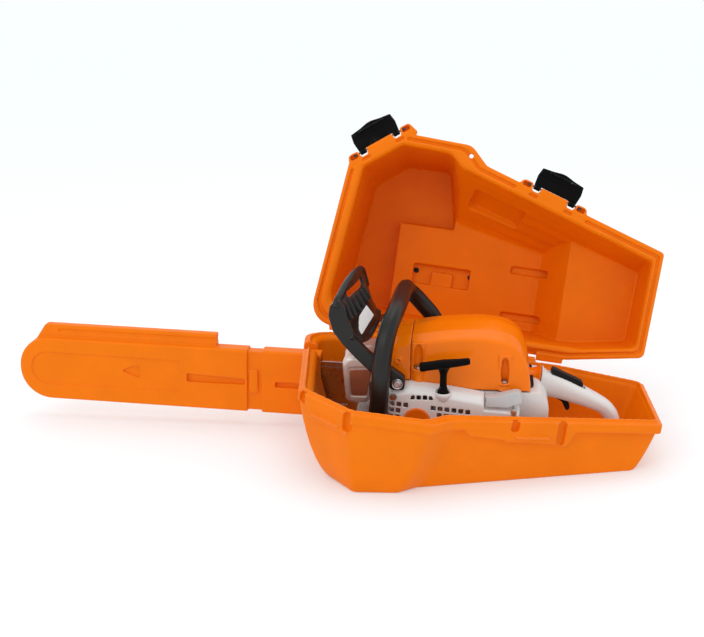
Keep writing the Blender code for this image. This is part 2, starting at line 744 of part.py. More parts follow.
# ---- chainsaw: engine and housings --------------------------------------------------
def make_engine(saw):
    """Crankcase, shaft, flywheel, cylinder, muffler, carburettor and plug."""
    case = [
        ((0.100, 0.0305), 0.006),
        ((0.094, 0.075), 0.006),
        ((0.110, 0.1125), 0.006),
        ((0.230, 0.1125), 0.006),
        ((0.234, 0.0305), 0.006),
    ]
    crankcase = solid("crankcase", *prism(rounded(case, 2), -0.205, -0.089), "aluminium", saw)
    room = prism(rounded(inset(case, [0.009] * 5), 2), -0.197, -0.098)
    cut(crankcase, room, shaft_rod(0.0066, -0.22, -0.07))
    shaft = solid("crankshaft", *shaft_rod(0.0060, -0.2305, -0.0555), "steel", saw)
    set_origin(shaft, (CRANK.x, -0.14, CRANK.z))
    blades = []
    for k in range(12):
        for radius, share in ((0.027, 0.0), (0.0395, 0.15), (0.0395, 0.4), (0.027, 0.6)):
            angle = math.tau * (k + share) / 12
            blades.append((CRANK.x + radius * math.cos(angle), CRANK.z + radius * math.sin(angle)))
    flywheel = solid("flywheel", *prism(blades, -0.2285, -0.2200), "aluminium", saw)
    join(flywheel, shaft_rod(0.0385, -0.2205, -0.2165, 36))
    cut(flywheel, shaft_rod(0.0064, -0.24, -0.20))
    set_origin(flywheel, (CRANK.x, -0.22, CRANK.z))
    rings = []
    for k in range(7):
        half = 0.0385 if k % 2 == 0 else 0.0300
        square = [
            ((0.147 - half, -0.155 - half), 0.012),
            ((0.147 + half, -0.155 - half), 0.012),
            ((0.147 + half, -0.155 + half), 0.012),
            ((0.147 - half, -0.155 + half), 0.012),
        ]
        for z in (0.1128 + 0.0080 * k, 0.1208 + 0.0080 * k):
            rings.append([(x, y, z) for x, y in rounded(square, 2)])
    solid("cylinder", *loft(rings), "aluminium", saw)
    plug = Vector((0.130, -0.155, 0.1692))
    profile = [(0.0080, 0.0), (0.0080, 0.0030), (0.0035, 0.0030), (0.0035, 0.0075)]
    solid("spark_plug", *loft(turned(profile, plug, (0, 0, 1), 12)), "steel", saw)
    boot = solid("plug_boot", *rod(0.0085, plug + UP * 0.0034, plug + UP * 0.0105, 16), "black", saw)
    cut(boot, rod(0.0039, plug, plug + UP * 0.0080, 12))
    pot = [
        ((0.0560, 0.0862), 0.008),
        ((0.0500, 0.1540), 0.010),
        ((0.0990, 0.1580), 0.010),
        ((0.1060, 0.1180), 0.004),
        ((0.0900, 0.1160), 0.003),
        ((0.0900, 0.0862), 0.008),
    ]
    muffler = solid("muffler", *prism(rounded(pot, 3), -0.200, -0.112), "muffler_steel", saw)
    cut(muffler, prism(rounded(inset(pot, [0.0018] * 6), 3), -0.198, -0.114))
    slots = [block((0.030, -0.192 + 0.011 * k, 0.100), (0.0570, -0.185 + 0.011 * k, 0.138)) for k in range(7)]
    cut(muffler, *slots)
    carburettor = solid(
        "carburettor", *block((0.1885, -0.176, 0.1206), (0.2120, -0.134, 0.1500)), "aluminium", saw
    )
    cut(carburettor, rod(0.0095, (0.18, -0.155, 0.135), (0.22, -0.155, 0.135), 20))
    spike = [(0.0550, 0.0300), (0.0640, 0.0300), (0.0640, 0.0845), (0.0550, 0.0845)]
    for k in range(4):
        z = 0.0775 - 0.0125 * k
        spike += [(0.0480, z), (0.0545, z - 0.0060)]
    solid("bumper_spike", *prism(spike, -0.1205, -0.1165), "steel", saw)


def shaft_rod(radius, start, end, segments=20):
    """A round bar on the crankshaft axis between two positions along y."""
    return rod(radius, (CRANK.x, start, CRANK.z), (CRANK.x, end, CRANK.z), segments)


def make_cap(name, place, radius, saw, tank):
    """A screw cap on the near wall of a tank, and the mouth that it fits."""
    cut(tank, rod(radius * 0.85, place + NEAR * 0.01, place - NEAR * 0.012, 20))
    profile = [(radius * 0.80, 0.0), (radius * 0.80, 0.0120), (radius, 0.0120), (radius * 0.94, 0.0190)]
    cap = loft(turned(profile, place - NEAR * 0.0117, NEAR, 20))
    made = solid(name, *cap, "black", saw)
    low = place + Vector((-0.0025, -0.0115, -radius * 0.75))
    high = place + Vector((0.0025, -0.0065, radius * 0.75))
    join(made, block(low, high))
    return set_origin(made, place)


def make_tank(saw):
    """The moulded rear housing with both tanks, and its two caps."""
    outline = [
        ((0.0645, 0.0104), 0.010),
        ((0.0645, 0.0560), 0.004),
        ((0.0905, 0.0560), 0.004),
        ((0.0905, 0.0300), 0.002),
        ((0.2370, 0.0300), 0.006),
        ((0.2420, 0.1165), 0.004),
        ((0.3260, 0.1165), 0.008),
        ((0.3380, 0.0980), 0.010),
        ((0.3380, 0.0104), 0.010),
    ]
    tank = solid("tank_housing", *prism(rounded(outline, 3), -0.213, -0.097), "light_grey", saw)
    fuel_room = [
        ((0.2460, 0.0139), 0.006),
        ((0.2460, 0.1130), 0.004),
        ((0.3240, 0.1130), 0.006),
        ((0.3345, 0.0970), 0.008),
        ((0.3345, 0.0139), 0.006),
    ]
    oil_room = [
        ((0.0680, 0.0139), 0.007),
        ((0.0680, 0.0525), 0.002),
        ((0.0870, 0.0525), 0.002),
        ((0.0880, 0.0265), 0.002),
        ((0.2300, 0.0265), 0.002),
        ((0.2300, 0.0139), 0.002),
    ]
    for room in (fuel_room, oil_room):
        cut(tank, prism(rounded(room, 2), -0.2095, -0.1005))
    make_cap("fuel_cap", Vector((0.2900, -0.213, 0.0540)), 0.0165, saw, tank)
    make_cap("oil_cap", Vector((0.0773, -0.213, 0.0405)), 0.0112, saw, tank)


def make_starter(saw):
    """The starter housing, its screws, and the pull grip on its rope."""
    outline = [
        ((0.1180, 0.0180), 0.010),
        ((0.1180, 0.1215), 0.008),
        ((0.1500, 0.1235), 0.020),
        ((0.2480, 0.1165), 0.010),
        ((0.2990, 0.1130), 0.004),
        ((0.2990, 0.0840), 0.004),
        ((0.2640, 0.0780), 0.006),
        ((0.2640, 0.0180), 0.010),
    ]
    cover = solid("starter_cover", *prism(rounded(outline, 3), -0.240, -0.2135), "light_grey", saw)
    room = rounded(inset(outline, [0.0030] * 8), 3)
    cut(cover, prism(room, -0.2368, -0.20))
    collar = loft(turned([(0.0095, 0.0), (0.0085, 0.0075)], GRIP + Vector((0, 0, 0.1190)), UP, 20))
    bosses = [rod(0.0060, (x, -0.2380, z), (x, -0.2140, z), 14) for x, z in STARTER_SCREWS]
    join(cover, collar, *bosses)
    tools = [rod(0.0032, GRIP + UP * 0.10, GRIP + UP * 0.14, 14)]
    for x, z in STARTER_SCREWS:
        tools.append(rod(0.0022, (x, -0.26, z), (x, -0.20, z), 12))
        tools.append(rod(0.0048, (x, -0.26, z), (x, -0.2370, z), 14))
    for k in range(3):
        low = (0.1500 + 0.0110 * k, -0.25, 0.1115)
        tools.append(block(low, (low[0] + 0.0080, -0.23, 0.1180)))
    for row in range(5):
        low = (0.1330, -0.25, 0.0300 + 0.0150 * row)
        tools.append(block(low, (0.2260, -0.23, low[2] + 0.0070)))
    cut(cover, *tools)
    profile = [(0.0044, 0.0), (0.0044, 0.0030), (0.0018, 0.0030), (0.0018, 0.0200)]
    screws = [loft(turned(profile, (x, -0.2403, z), (0, 1, 0), 12)) for x, z in STARTER_SCREWS]
    numbered("starter_cover_screw", screws, "steel", saw)
    lean = Matrix.Translation(GRIP + UP * 0.163) @ Matrix.Rotation(math.radians(-8.0), 4, "Y")
    bar = [
        ((-0.0340, -0.0060), 0.003),
        ((-0.0345, 0.0050), 0.003),
        ((0.0000, 0.0075), 0.080),
        ((0.0345, 0.0050), 0.003),
        ((0.0340, -0.0060), 0.003),
    ]
    grip = moved(prism(rounded(bar, 3), -0.0056, 0.0060), lean)
    grip = solid("starter_grip", *grip, "black", saw)
    profile = [(0.0085, 0.1272), (0.0045, 0.1320), (0.0045, 0.1500), (0.0075, 0.1600)]
    join(grip, loft(turned(profile, GRIP, UP, 18)))
    cut(grip, rod(0.0019, GRIP + UP * 0.12, GRIP + UP * 0.142, 12))
    solid("starter_rope", *rod(0.0015, GRIP + UP * 0.0420, GRIP + UP * 0.1415, 10), "rope", saw)


# ---- chainsaw: air filter housing ---------------------------------------------------
def hood_section(x, top, crease, margin, low):
    """Ring across the hood: near wall, crease, crown and far wall, moved in by a margin."""
    near, far = -0.2130 + margin, -0.0895 - margin
    corners = [
        ((near, low), 0.001),
        ((near + 0.0100, crease - margin), 0.012),
        ((-0.1650, top - margin), 0.040),
        ((far - 0.0120, top - 0.006 - margin), 0.014),
        ((far, low), 0.001),
    ]
    return [(x, y, z) for y, z in rounded(corners, 3)]


def make_filter_housing(saw):
    """The hood that closes the air filter, the filter and its base, and two fasteners."""
    outer = [hood_section(x, top, crease, 0.0, 0.1180) for x, top, crease in HOOD_PROFILE]
    wall = 0.0025
    inner = [hood_section(0.130, *HOOD_PROFILE[0][1:], wall, 0.1100)]
    for x, top, crease in HOOD_PROFILE[:-2]:
        inner.append(hood_section(x, top, crease, wall, 0.1100))
    inner.append(hood_section(0.3130, 0.1465, 0.1405, wall, 0.1100))
    inner.append(hood_section(0.3320, 0.1290, 0.1262, wall, 0.1100))
    sleeves = []
    tools = []
    for place in FASTENERS.values():
        low, high = Vector((place.x, place.y, 0.10)), Vector((place.x, place.y, 0.21))
        seat = Vector((place.x, place.y, place.z - 0.0043))
        sleeves.append(rod(0.0092, low, high, 20))
        tools.append(rod(0.0068, seat, high, 20))
        tools.append(rod(0.0024, low, high, 12))
    hollow = carved(loft(inner, split=True), sleeves)
    hood = solid("filter_cover", *loft(outer, split=True), "orange", saw)
    cut(hood, hollow)
    cut(hood, *tools)
    for name, place in FASTENERS.items():
        profile = [(0.0056, -0.0004), (0.0056, -0.0038), (0.0020, -0.0038), (0.0020, -0.0270)]
        if name == "rear":
            profile[-1] = (0.0020, -0.0115)
        screw = solid("hood_fastener_" + name, *loft(turned(profile, place, UP, 16)), "steel", saw)
        cut(screw, block(place + Vector((-0.008, -0.0008, -0.0016)), place + Vector((0.008, 0.0008, 0.01))))
        set_origin(screw, place)
    plate = [
        ((0.2150, -0.1955), 0.010),
        ((0.2150, -0.0980), 0.010),
        ((0.3180, -0.0980), 0.010),
        ((0.3180, -0.1955), 0.010),
    ]
    base = solid("filter_base", *prism(rounded(plate, 3), 0.1169, 0.1198, "z"), "black", saw)
    cut(base, rod(0.0110, (0.2330, -0.1500, 0.10), (0.2330, -0.1500, 0.13), 20))
    pleats = [(0.2150, 0.1202), (0.2150, 0.1240), (0.2180, 0.1240)]
    for k in range(13):
        x = 0.2190 + 0.0060 * k
        pleats += [(x + 0.0022, 0.1480), (x + 0.0034, 0.1480), (x + 0.0058, 0.1280)]
    pleats += [(0.3000, 0.1240), (0.3030, 0.1240), (0.3030, 0.1202)]
    solid("filter_element", *prism(pleats, -0.1900, -0.1120), "filter", saw)
    outer = [hood_section(x, top, crease, 0.0, 0.1285) for x, top, crease in SHROUD_PROFILE]
    shroud = solid("cylinder_shroud", *loft(outer, split=True), "orange", saw)
    inner = [hood_section(x, top, crease, wall, 0.1200) for x, top, crease in SHROUD_ROOM]
    low_front = block((0.09, -0.23, 0.11), (0.1078, -0.08, 0.1605))
    cut(shroud, loft(inner, split=True), low_front)


# ---- chainsaw: handles and controls -------------------------------------------------
def make_handles(saw):
    """The front handlebar, the rear handle, its two triggers and the control lever."""
    route = [
        (0.0990, -0.2145, 0.0310),
        (0.0990, -0.2330, 0.0340),
        (0.1020, -0.2450, 0.0600),
        (0.1110, -0.2550, 0.1070),
        (0.1170, -0.2520, 0.1800),
        (0.1210, -0.2350, 0.2180),
        (0.1270, -0.1980, 0.2335),
        (0.1310, -0.1050, 0.2350),
        (0.1360, -0.0800, 0.2230),
        (0.1520, -0.0690, 0.2030),
        (0.1760, -0.0680, 0.1700),
        (0.1860, -0.0680, 0.1215),
    ]
    solid("front_handlebar", *tube_path(smooth_route(route, 3), 0.0125, 12), "black", saw)
    near, far = -0.1520, -0.1180
    outline = [
        ((0.3386, 0.1240), 0.003),
        ((0.3790, 0.1080), 0.060),
        ((0.4330, 0.0760), 0.020),
        ((0.4460, 0.0570), 0.014),
        ((0.4460, 0.0104), 0.008),
        ((0.3386, 0.0104), 0.002),
    ]
    handle = solid("rear_handle", *prism(rounded(outline, 4), near, far), "light_grey", saw)
    hole = [
        ((0.3520, 0.0810), 0.006),
        ((0.4120, 0.0670), 0.010),
        ((0.4260, 0.0520), 0.010),
        ((0.4260, 0.0260), 0.008),
        ((0.3520, 0.0260), 0.008),
    ]
    middle = (near + far) / 2
    groove = [(0.3370, 0.1100), (0.3930, 0.0955), (0.3930, 0.14), (0.3370, 0.14)]
    join(handle, block((0.3396, -0.1640, 0.0110), (0.4420, -0.1060, 0.0190)))
    cut(
        handle,
        prism(rounded(hole, 3), near - 0.03, far + 0.03),
        block((0.3480, middle - 0.0060, 0.0500), (0.3850, middle + 0.0060, 0.0955)),
        prism(groove, middle - 0.0065, middle + 0.0065),
    )
    trigger = [
        ((0.3500, 0.0915), 0.002),
        ((0.3580, 0.0925), 0.003),
        ((0.3680, 0.0835), 0.006),
        ((0.3730, 0.0700), 0.004),
        ((0.3710, 0.0645), 0.002),
        ((0.3670, 0.0655), 0.002),
        ((0.3610, 0.0780), 0.005),
        ((0.3500, 0.0840), 0.003),
    ]
    made = prism(rounded(trigger, 2), middle - 0.0050, middle + 0.0050)
    set_origin(solid("throttle_trigger", *made, "black", saw), (0.3540, middle, 0.0880))
    lockout = [
        ((0.3455, 0.1285), 0.002),
        ((0.3430, 0.1215), 0.002),
        ((0.3840, 0.1005), 0.002),
        ((0.3905, 0.1010), 0.002),
        ((0.3890, 0.1085), 0.004),
    ]
    made = prism(rounded(lockout, 2), middle - 0.0055, middle + 0.0055)
    set_origin(solid("trigger_lockout", *made, "black", saw), (0.3870, middle, 0.1040))
    lever = [
        ((0.2530, 0.1200), 0.003),
        ((0.2530, 0.1275), 0.003),
        ((0.2920, 0.1255), 0.004),
        ((0.3010, 0.1300), 0.002),
        ((0.3040, 0.1270), 0.002),
        ((0.2960, 0.1190), 0.004),
    ]
    made = prism(rounded(lever, 2), -0.2350, -0.2235)
    set_origin(solid("control_lever", *made, "mid_grey", saw), (0.2575, -0.2290, 0.1237))


def make_hand_guard(saw):
    """The front hand guard, which is also the chain brake lever, and its label plate."""
    near_arm = [
        ((0.0420, 0.1960), 0.010),
        ((0.0400, 0.2300), 0.008),
        ((0.0520, 0.2420), 0.006),
        ((0.0660, 0.2160), 0.010),
        ((0.0860, 0.1860), 0.020),
        ((0.1400, 0.1425), 0.007),
        ((0.1420, 0.1260), 0.006),
        ((0.1270, 0.1235), 0.006),
        ((0.0640, 0.1640), 0.020),
    ]
    far_arm = [
        ((0.0640, 0.2100), 0.006),
        ((0.0690, 0.2480), 0.006),
        ((0.0810, 0.2480), 0.005),
        ((0.0960, 0.1980), 0.020),
        ((0.1420, 0.1425), 0.007),
        ((0.1420, 0.1260), 0.006),
        ((0.1270, 0.1235), 0.006),
        ((0.0880, 0.1660), 0.020),
    ]
    sections = [
        (-0.2395, 0.0430, 0.0445, 0.2000, 0.2350),
        (-0.2290, 0.0470, 0.0540, 0.1980, 0.2500),
        (-0.2000, 0.0570, 0.0650, 0.1980, 0.2620),
        (-0.1400, 0.0660, 0.0730, 0.1980, 0.2700),
        (-0.0900, 0.0670, 0.0740, 0.1980, 0.2660),
        (-0.0620, 0.0660, 0.0720, 0.2000, 0.2460),
    ]
    rings = []
    for y, foot, head, low, high in sections:
        ring = [(foot, low), (foot + 0.0055, low), (head + 0.0055, high), (head, high)]
        rings.append([(x, y, z) for x, z in ring])
    guard = solid("hand_guard", *prism(rounded(near_arm, 3), -0.2400, -0.2280), "black", saw)
    web = [(0.0640, 0.2330), (0.0680, 0.2360), (0.1000, 0.1960), (0.0960, 0.1925)]
    join(
        guard,
        prism(rounded(far_arm, 3), -0.0700, -0.0615),
        loft(rings, split=True),
        prism(web, -0.2290, -0.1500),
    )
    bar = block((0.0560, -0.2295, 0.2080), (0.0700, -0.1510, 0.2120))
    join(guard, bar)
    tools = [block((0.02, -0.1420, 0.2100), (0.12, -0.0860, 0.2560))]
    tools.append(rod(0.0044, GUARD_PIVOT + NEAR * 0.26, GUARD_PIVOT, 16))
    cut(guard, *tools)
    set_origin(guard, GUARD_PIVOT + NEAR * 0.150)
    lean = Matrix.Translation((0.0823, -0.200, 0.2163)) @ Matrix.Rotation(math.radians(51.3), 4, "Y")
    plate = block((-0.0165, -0.0190, 0.0024), (0.0165, 0.0190, 0.0032))
    solid("guard_label", *moved(plate, lean), "label", saw)
    profile = [(0.0070, 0.0), (0.0070, 0.0040), (0.0040, 0.0040), (0.0040, 0.0290)]
    near_pivot = loft(turned(profile, GUARD_PIVOT + NEAR * 0.2443, (0, 1, 0), 16))
    profile = [(0.0070, 0.0), (0.0070, 0.0030), (0.0040, 0.0030), (0.0040, 0.0285)]
    far_pivot = loft(turned(profile, GUARD_PIVOT + NEAR * 0.0582, NEAR, 16))
    numbered("guard_pivot", [near_pivot, far_pivot], "steel", saw)


# ---- chainsaw: sprocket side --------------------------------------------------------
def make_sprocket_cover(saw):
    """The cover over the sprocket, open towards the bar, with studs and nuts."""
    outline = [
        ((0.0740, 0.0220), 0.010),
        ((0.0700, 0.1060), 0.012),
        ((0.1000, 0.1180), 0.020),
        ((0.2400, 0.1180), 0.030),
        ((0.2600, 0.0900), 0.020),
        ((0.2580, 0.0200), 0.014),
    ]
    cover = solid("sprocket_cover", *prism(rounded(outline, 3), -0.0785, -0.0420), "mid_grey", saw)
    room = rounded(inset(outline, [0.0035] * 6), 3)
    cut(cover, prism(room, -0.090, -0.0455))
    places = [Vector((x, 0.0, CRANK.z + (CRANK.x - x) * math.tan(BAR_TILT))) for x in BAR_STUDS]
    cut(cover, *[rod(0.0044, p + NEAR * 0.10, p + NEAR * 0.03, 14) for p in places])
    studs = []
    nuts = []
    for place in places:
        studs.append(rod(0.0040, place + NEAR * 0.0886, place + NEAR * 0.0370, 14))
        nuts.append(loft(turned([(0.0080, 0.0), (0.0080, 0.0065)], place + NEAR * 0.0417, -NEAR, 6)))
    numbered("bar_stud", studs, "steel", saw)
    for nut, place in zip(numbered("cover_nut", nuts, "steel", saw), places):
        cut(nut, rod(0.0044, place + NEAR * 0.05, place + NEAR * 0.0365, 14))


def main():
    for spare in list(bpy.data.objects):
        bpy.data.objects.remove(spare)
    floor = empty("floor_frame", (CASE_X, CASE_Y, 0.0))
    rim_frame = empty("rim_frame", (0.0, 0.0, HINGE_HEIGHT), floor, (0.0, RIM_TILT, 0.0))
    lid_pivot = empty("lid_pivot", (0.0, 0.0, 0.0), rim_frame, (-LID_OPEN, 0.0, 0.0))
    make_base(floor)
    make_hinge_pins(rim_frame)
    make_lid(lid_pivot)
    make_carry_handle(lid_pivot)
    for side in LATCH_FRAMES:
        make_latch(side, lid_pivot)
    make_tank(floor)
    make_engine(floor)
    make_starter(floor)
    make_filter_housing(floor)
    make_handles(floor)
    make_hand_guard(floor)
    make_cutting_gear(floor)
    make_sprocket_cover(floor)
    make_scabbard(floor)


main()
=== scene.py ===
"""Looks of a chainsaw stowed in its open carrying case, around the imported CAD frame.

Shapes are modelled in the same frames as the CAD model. FLOOR has its origin under the
case's left rear corner, RIM lies in the parting plane of the base, LID in that of the
open lid, and BAR runs along the guide bar. All lengths are in metres.
"""

import json
import math

import bmesh
import bpy
from mathutils import Matrix, Vector


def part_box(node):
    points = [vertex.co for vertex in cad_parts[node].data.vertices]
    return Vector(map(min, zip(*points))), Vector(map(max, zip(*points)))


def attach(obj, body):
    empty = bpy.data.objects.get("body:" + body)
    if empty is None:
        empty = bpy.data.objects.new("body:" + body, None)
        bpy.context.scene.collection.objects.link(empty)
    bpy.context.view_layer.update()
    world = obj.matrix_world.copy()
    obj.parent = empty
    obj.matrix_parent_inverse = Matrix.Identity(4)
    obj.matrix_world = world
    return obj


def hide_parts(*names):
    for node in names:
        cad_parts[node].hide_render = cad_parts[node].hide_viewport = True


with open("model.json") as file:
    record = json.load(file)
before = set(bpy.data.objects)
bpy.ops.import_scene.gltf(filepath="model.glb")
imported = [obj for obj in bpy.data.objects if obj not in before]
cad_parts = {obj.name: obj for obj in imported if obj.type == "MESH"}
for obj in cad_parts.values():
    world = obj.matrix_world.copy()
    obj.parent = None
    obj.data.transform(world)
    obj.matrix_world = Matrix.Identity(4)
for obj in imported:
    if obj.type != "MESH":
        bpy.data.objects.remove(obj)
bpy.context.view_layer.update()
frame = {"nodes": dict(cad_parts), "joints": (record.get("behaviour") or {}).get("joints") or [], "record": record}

# ---- frames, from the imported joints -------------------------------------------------
JOINTS = {joint["name"]: joint for joint in frame["joints"]}
HINGE = Vector(JOINTS["lid_hinge"]["pos_m"])
HINGE_AXIS = Vector(JOINTS["lid_hinge"]["axis"])
RIM_TILT = math.atan2(HINGE_AXIS.z, -HINGE_AXIS.x)
LID_OPEN = math.radians(-min(JOINTS["lid_hinge"]["range_deg"]))
FLOOR = Matrix.Translation((HINGE.x, HINGE.y, 0.0))
RIM = Matrix.Translation(HINGE) @ Matrix.Rotation(RIM_TILT, 4, "Y")
LID = RIM @ Matrix.Rotation(-LID_OPEN, 4, "X")
CRANK = FLOOR.inverted() @ Vector(JOINTS["clutch_spin"]["pos_m"])
BAR_TILT = math.radians(1.6)
BAR = FLOOR @ Matrix.Translation(CRANK) @ Matrix.Rotation(BAR_TILT, 4, "Y")
UP = Vector((0.0, 0.0, 1.0))
NEAR = Vector((0.0, -1.0, 0.0))

# ---- dimensions of the case ---------------------------------------------------------
SKIRT = 0.0145
GAP = 0.0004
LID_DEPTH = 0.182
LID_MIDDLE = 0.152
LID_RIGHT = 0.082
RIM_CORNERS = [
    ((-0.031, -0.008), 0.034),
    ((0.0, -0.266), 0.012),
    ((0.076, -0.322), 0.012),
    ((0.186, -0.316), 0.022),
    ((0.213, -0.288), 0.01),
    ((0.5, -0.192), 0.006),
    ((0.494, -0.028), 0.01),
    ((0.378, -0.008), 0.012),
]
FOOT_CORNERS = [
    ((0.04, -0.035), 0.03),
    ((0.046, -0.262), 0.02),
    ((0.078, -0.305), 0.014),
    ((0.136, -0.301), 0.006),
    ((0.16, -0.2825), 0.012),
    ((0.462, -0.194), 0.012),
    ((0.456, -0.046), 0.014),
    ((0.378, -0.034), 0.012),
]
CROWN_CORNERS = [
    ((0.004, -0.03), 0.03),
    ((0.03, -0.24), 0.022),
    ((0.084, -0.284), 0.02),
    ((0.163, -0.284), 0.014),
    ((0.189, -0.15), 0.012),
    ((0.472, -0.112), 0.01),
    ((0.47, -0.045), 0.012),
    ((0.372, -0.028), 0.012),
]
HINGE_MIDDLES = (0.075, 0.3)
HINGE_WEBS = ((0.004, 0.044), (0.106, 0.269), (0.331, 0.372))
# how far a rounded edge stands back and drops, from its start to its end
ROUNDING = [(0.0075, 0.0), (0.0046, 0.0006), (0.0022, 0.0022), (0.0006, 0.0046), (0.0, 0.007)]
CORNER_STEPS = 6
# how much further inside the rim its tongue and groove run, for each edge: they go round the ear
EAR_DETOUR = (0.0, 0.0, 0.0, 0.0043, 0.0018, 0.0, 0.0, 0.0)

# ---- dimensions of the saw ----------------------------------------------------------
GRIP = Vector((0.194, -0.2335, 0.0))
GUARD_PIVOT = Vector((0.132, 0.0, 0.133))
LABEL_CORNERS = [
    Vector((0.0713, -0.219, 0.2105)),
    Vector((0.0838, -0.181, 0.2258)),
    Vector((0.0942, -0.181, 0.2119)),
    Vector((0.0815, -0.219, 0.1953)),
]
FASTENERS = {"front": Vector((0.1585, -0.2085, 0.149)), "rear": Vector((0.277, -0.206, 0.132))}
HOOD_PROFILE = [
    (0.148, 0.1905, 0.178),
    (0.175, 0.1955, 0.1835),
    (0.203, 0.199, 0.1875),
    (0.235, 0.201, 0.189),
    (0.26, 0.2, 0.187),
    (0.28, 0.1955, 0.1825),
    (0.295, 0.186, 0.172),
    (0.305, 0.169, 0.157),
    (0.31, 0.15, 0.141),
    (0.3125, 0.131, 0.127),
]
SHROUD_PROFILE = [(0.105, 0.184, 0.173), (0.122, 0.187, 0.1755), (0.1475, 0.1905, 0.178)]


# ---- materials ----------------------------------------------------------------------
def finish_of(
    name, colour, roughness, metallic=0.0, grain=1400.0, bump=0.00002, patch=0.05, coat=0.0, gloss=0.5,
):
    """A Principled material: patchy colour and gloss, a fine grain, and lighter convex edges, partly wear and
    partly a painted highlight.
    """
    made = bpy.data.materials.new(name)
    made.use_nodes = True
    tree = made.node_tree
    shader = tree.nodes["Principled BSDF"]
    shader.inputs["Metallic"].default_value = metallic
    shader.inputs["Specular IOR Level"].default_value = gloss
    shader.inputs["Coat Weight"].default_value = coat
    shader.inputs["Coat Roughness"].default_value = 0.12
    place = tree.nodes.new("ShaderNodeTexCoord").outputs["Object"]

    def noise(scale, detail):
        node = tree.nodes.new("ShaderNodeTexNoise")
        node.inputs["Scale"].default_value = scale
        node.inputs["Detail"].default_value = detail
        tree.links.new(place, node.inputs["Vector"])
        return node.outputs["Fac"]

    def spread(value, low, high, out_low, out_high):
        node = tree.nodes.new("ShaderNodeMapRange")
        node.inputs["From Min"].default_value = low
        node.inputs["From Max"].default_value = high
        node.inputs["To Min"].default_value = out_low
        node.inputs["To Max"].default_value = out_high
        tree.links.new(value, node.inputs["Value"])
        return node.outputs["Result"]

    def mixed(factor, first, second):
        node = tree.nodes.new("ShaderNodeMix")
        node.data_type = "RGBA"
        tree.links.new(factor, node.inputs["Factor"])
        for socket, value in ((node.inputs["A"], first), (node.inputs["B"], second)):
            if isinstance(value, tuple):
                socket.default_value = (*value, 1.0)
            else:
                tree.links.new(value, socket)
        return node.outputs["Result"]

    darker = tuple(c * (1 - patch) for c in colour)
    lighter = tuple(min(1.0, c * (1 + patch)) for c in colour)
    patches = spread(noise(22.0, 4.0), 0.35, 0.65, 0.0, 1.0)
    body = mixed(patches, darker, lighter)
    # convex edges are painted lighter: partly wear, partly a painted highlight where rounded edges catch the light
    edges = spread(tree.nodes.new("ShaderNodeNewGeometry").outputs["Pointiness"], 0.52, 0.62, 0.0, 0.35)
    edge_wear_and_highlight = tuple(c + (1 - c) * 0.25 for c in colour)
    tree.links.new(mixed(edges, body, edge_wear_and_highlight), shader.inputs["Base Color"])
    smears = spread(noise(60.0, 6.0), 0.3, 0.7, roughness * 0.88, min(1.0, roughness * 1.14))
    tree.links.new(smears, shader.inputs["Roughness"])
    relief = tree.nodes.new("ShaderNodeBump")
    relief.inputs["Distance"].default_value = bump
    tree.links.new(noise(grain, 2.0), relief.inputs["Height"])
    tree.links.new(relief.outputs["Normal"], shader.inputs["Normal"])
    return made


def striped_finish(name, colour, roughness, metallic, stripes, bump):
    """A material with fine parallel lines in its relief, for brushed metal, felt pleats or braid."""
    made = finish_of(name, colour, roughness, metallic)
    tree = made.node_tree
    shader = tree.nodes["Principled BSDF"]
    place = next(node for node in tree.nodes if node.type == "TEX_COORD").outputs["Object"]
    wave = tree.nodes.new("ShaderNodeTexWave")
    wave.bands_direction = "DIAGONAL"
    wave.inputs["Scale"].default_value = stripes
    wave.inputs["Distortion"].default_value = 2.5
    wave.inputs["Detail"].default_value = 3.0
    tree.links.new(place, wave.inputs["Vector"])
    relief = tree.nodes.new("ShaderNodeBump")
    relief.inputs["Distance"].default_value = bump
    tree.links.new(wave.outputs["Fac"], relief.inputs["Height"])
    tree.links.new(relief.outputs["Normal"], shader.inputs["Normal"])
    return made


FINISHES = {
    "case": finish_of(
        "case_plastic", (0.84, 0.18, 0.0012), 0.38, bump=0.00003, grain=900.0, gloss=0.1, patch=0.03,
    ),
    "hood": finish_of(
        "hood_plastic", (0.86, 0.175, 0.0012), 0.22, coat=0.12, bump=0.00001, gloss=0.12, patch=0.03,
    ),
    "black": finish_of("black_plastic", (0.003, 0.0025, 0.0025), 0.5, patch=0.2, bump=0.00004, gloss=0.06),
    "rubber": finish_of("black_rubber", (0.008, 0.007, 0.006), 0.34, patch=0.2, bump=0.00006, gloss=0.32),
    "light_grey": finish_of("white_plastic", (0.7, 0.69, 0.68), 0.34, patch=0.03, gloss=0.4),
    "mid_grey": finish_of("grey_plastic", (0.46, 0.46, 0.46), 0.36, patch=0.06),
    "steel": striped_finish("brushed_steel", (0.52, 0.52, 0.53), 0.28, 1.0, 700.0, 0.00001),
    "dark_steel": finish_of("blackened_steel", (0.05, 0.05, 0.05), 0.35, 0.8),
    "aluminium": finish_of("cast_aluminium", (0.6, 0.6, 0.61), 0.42, 1.0, 500.0, 0.0001, 0.1),
    "muffler_steel": finish_of("tinted_steel", (0.58, 0.52, 0.48), 0.34, 0.45, 300.0, 0.00003, 0.14),
    "browned_steel": finish_of("browned_steel", (0.34, 0.12, 0.05), 0.3, 0.5, patch=0.2),
    "filter": striped_finish("filter_felt", (0.72, 0.68, 0.56), 0.9, 0.0, 500.0, 0.0002),
    "label": finish_of("blank_label", (0.82, 0.81, 0.8), 0.3, patch=0.03),
    "rope": striped_finish("braided_rope", (0.5, 0.49, 0.45), 0.85, 0.0, 900.0, 0.0003),
}


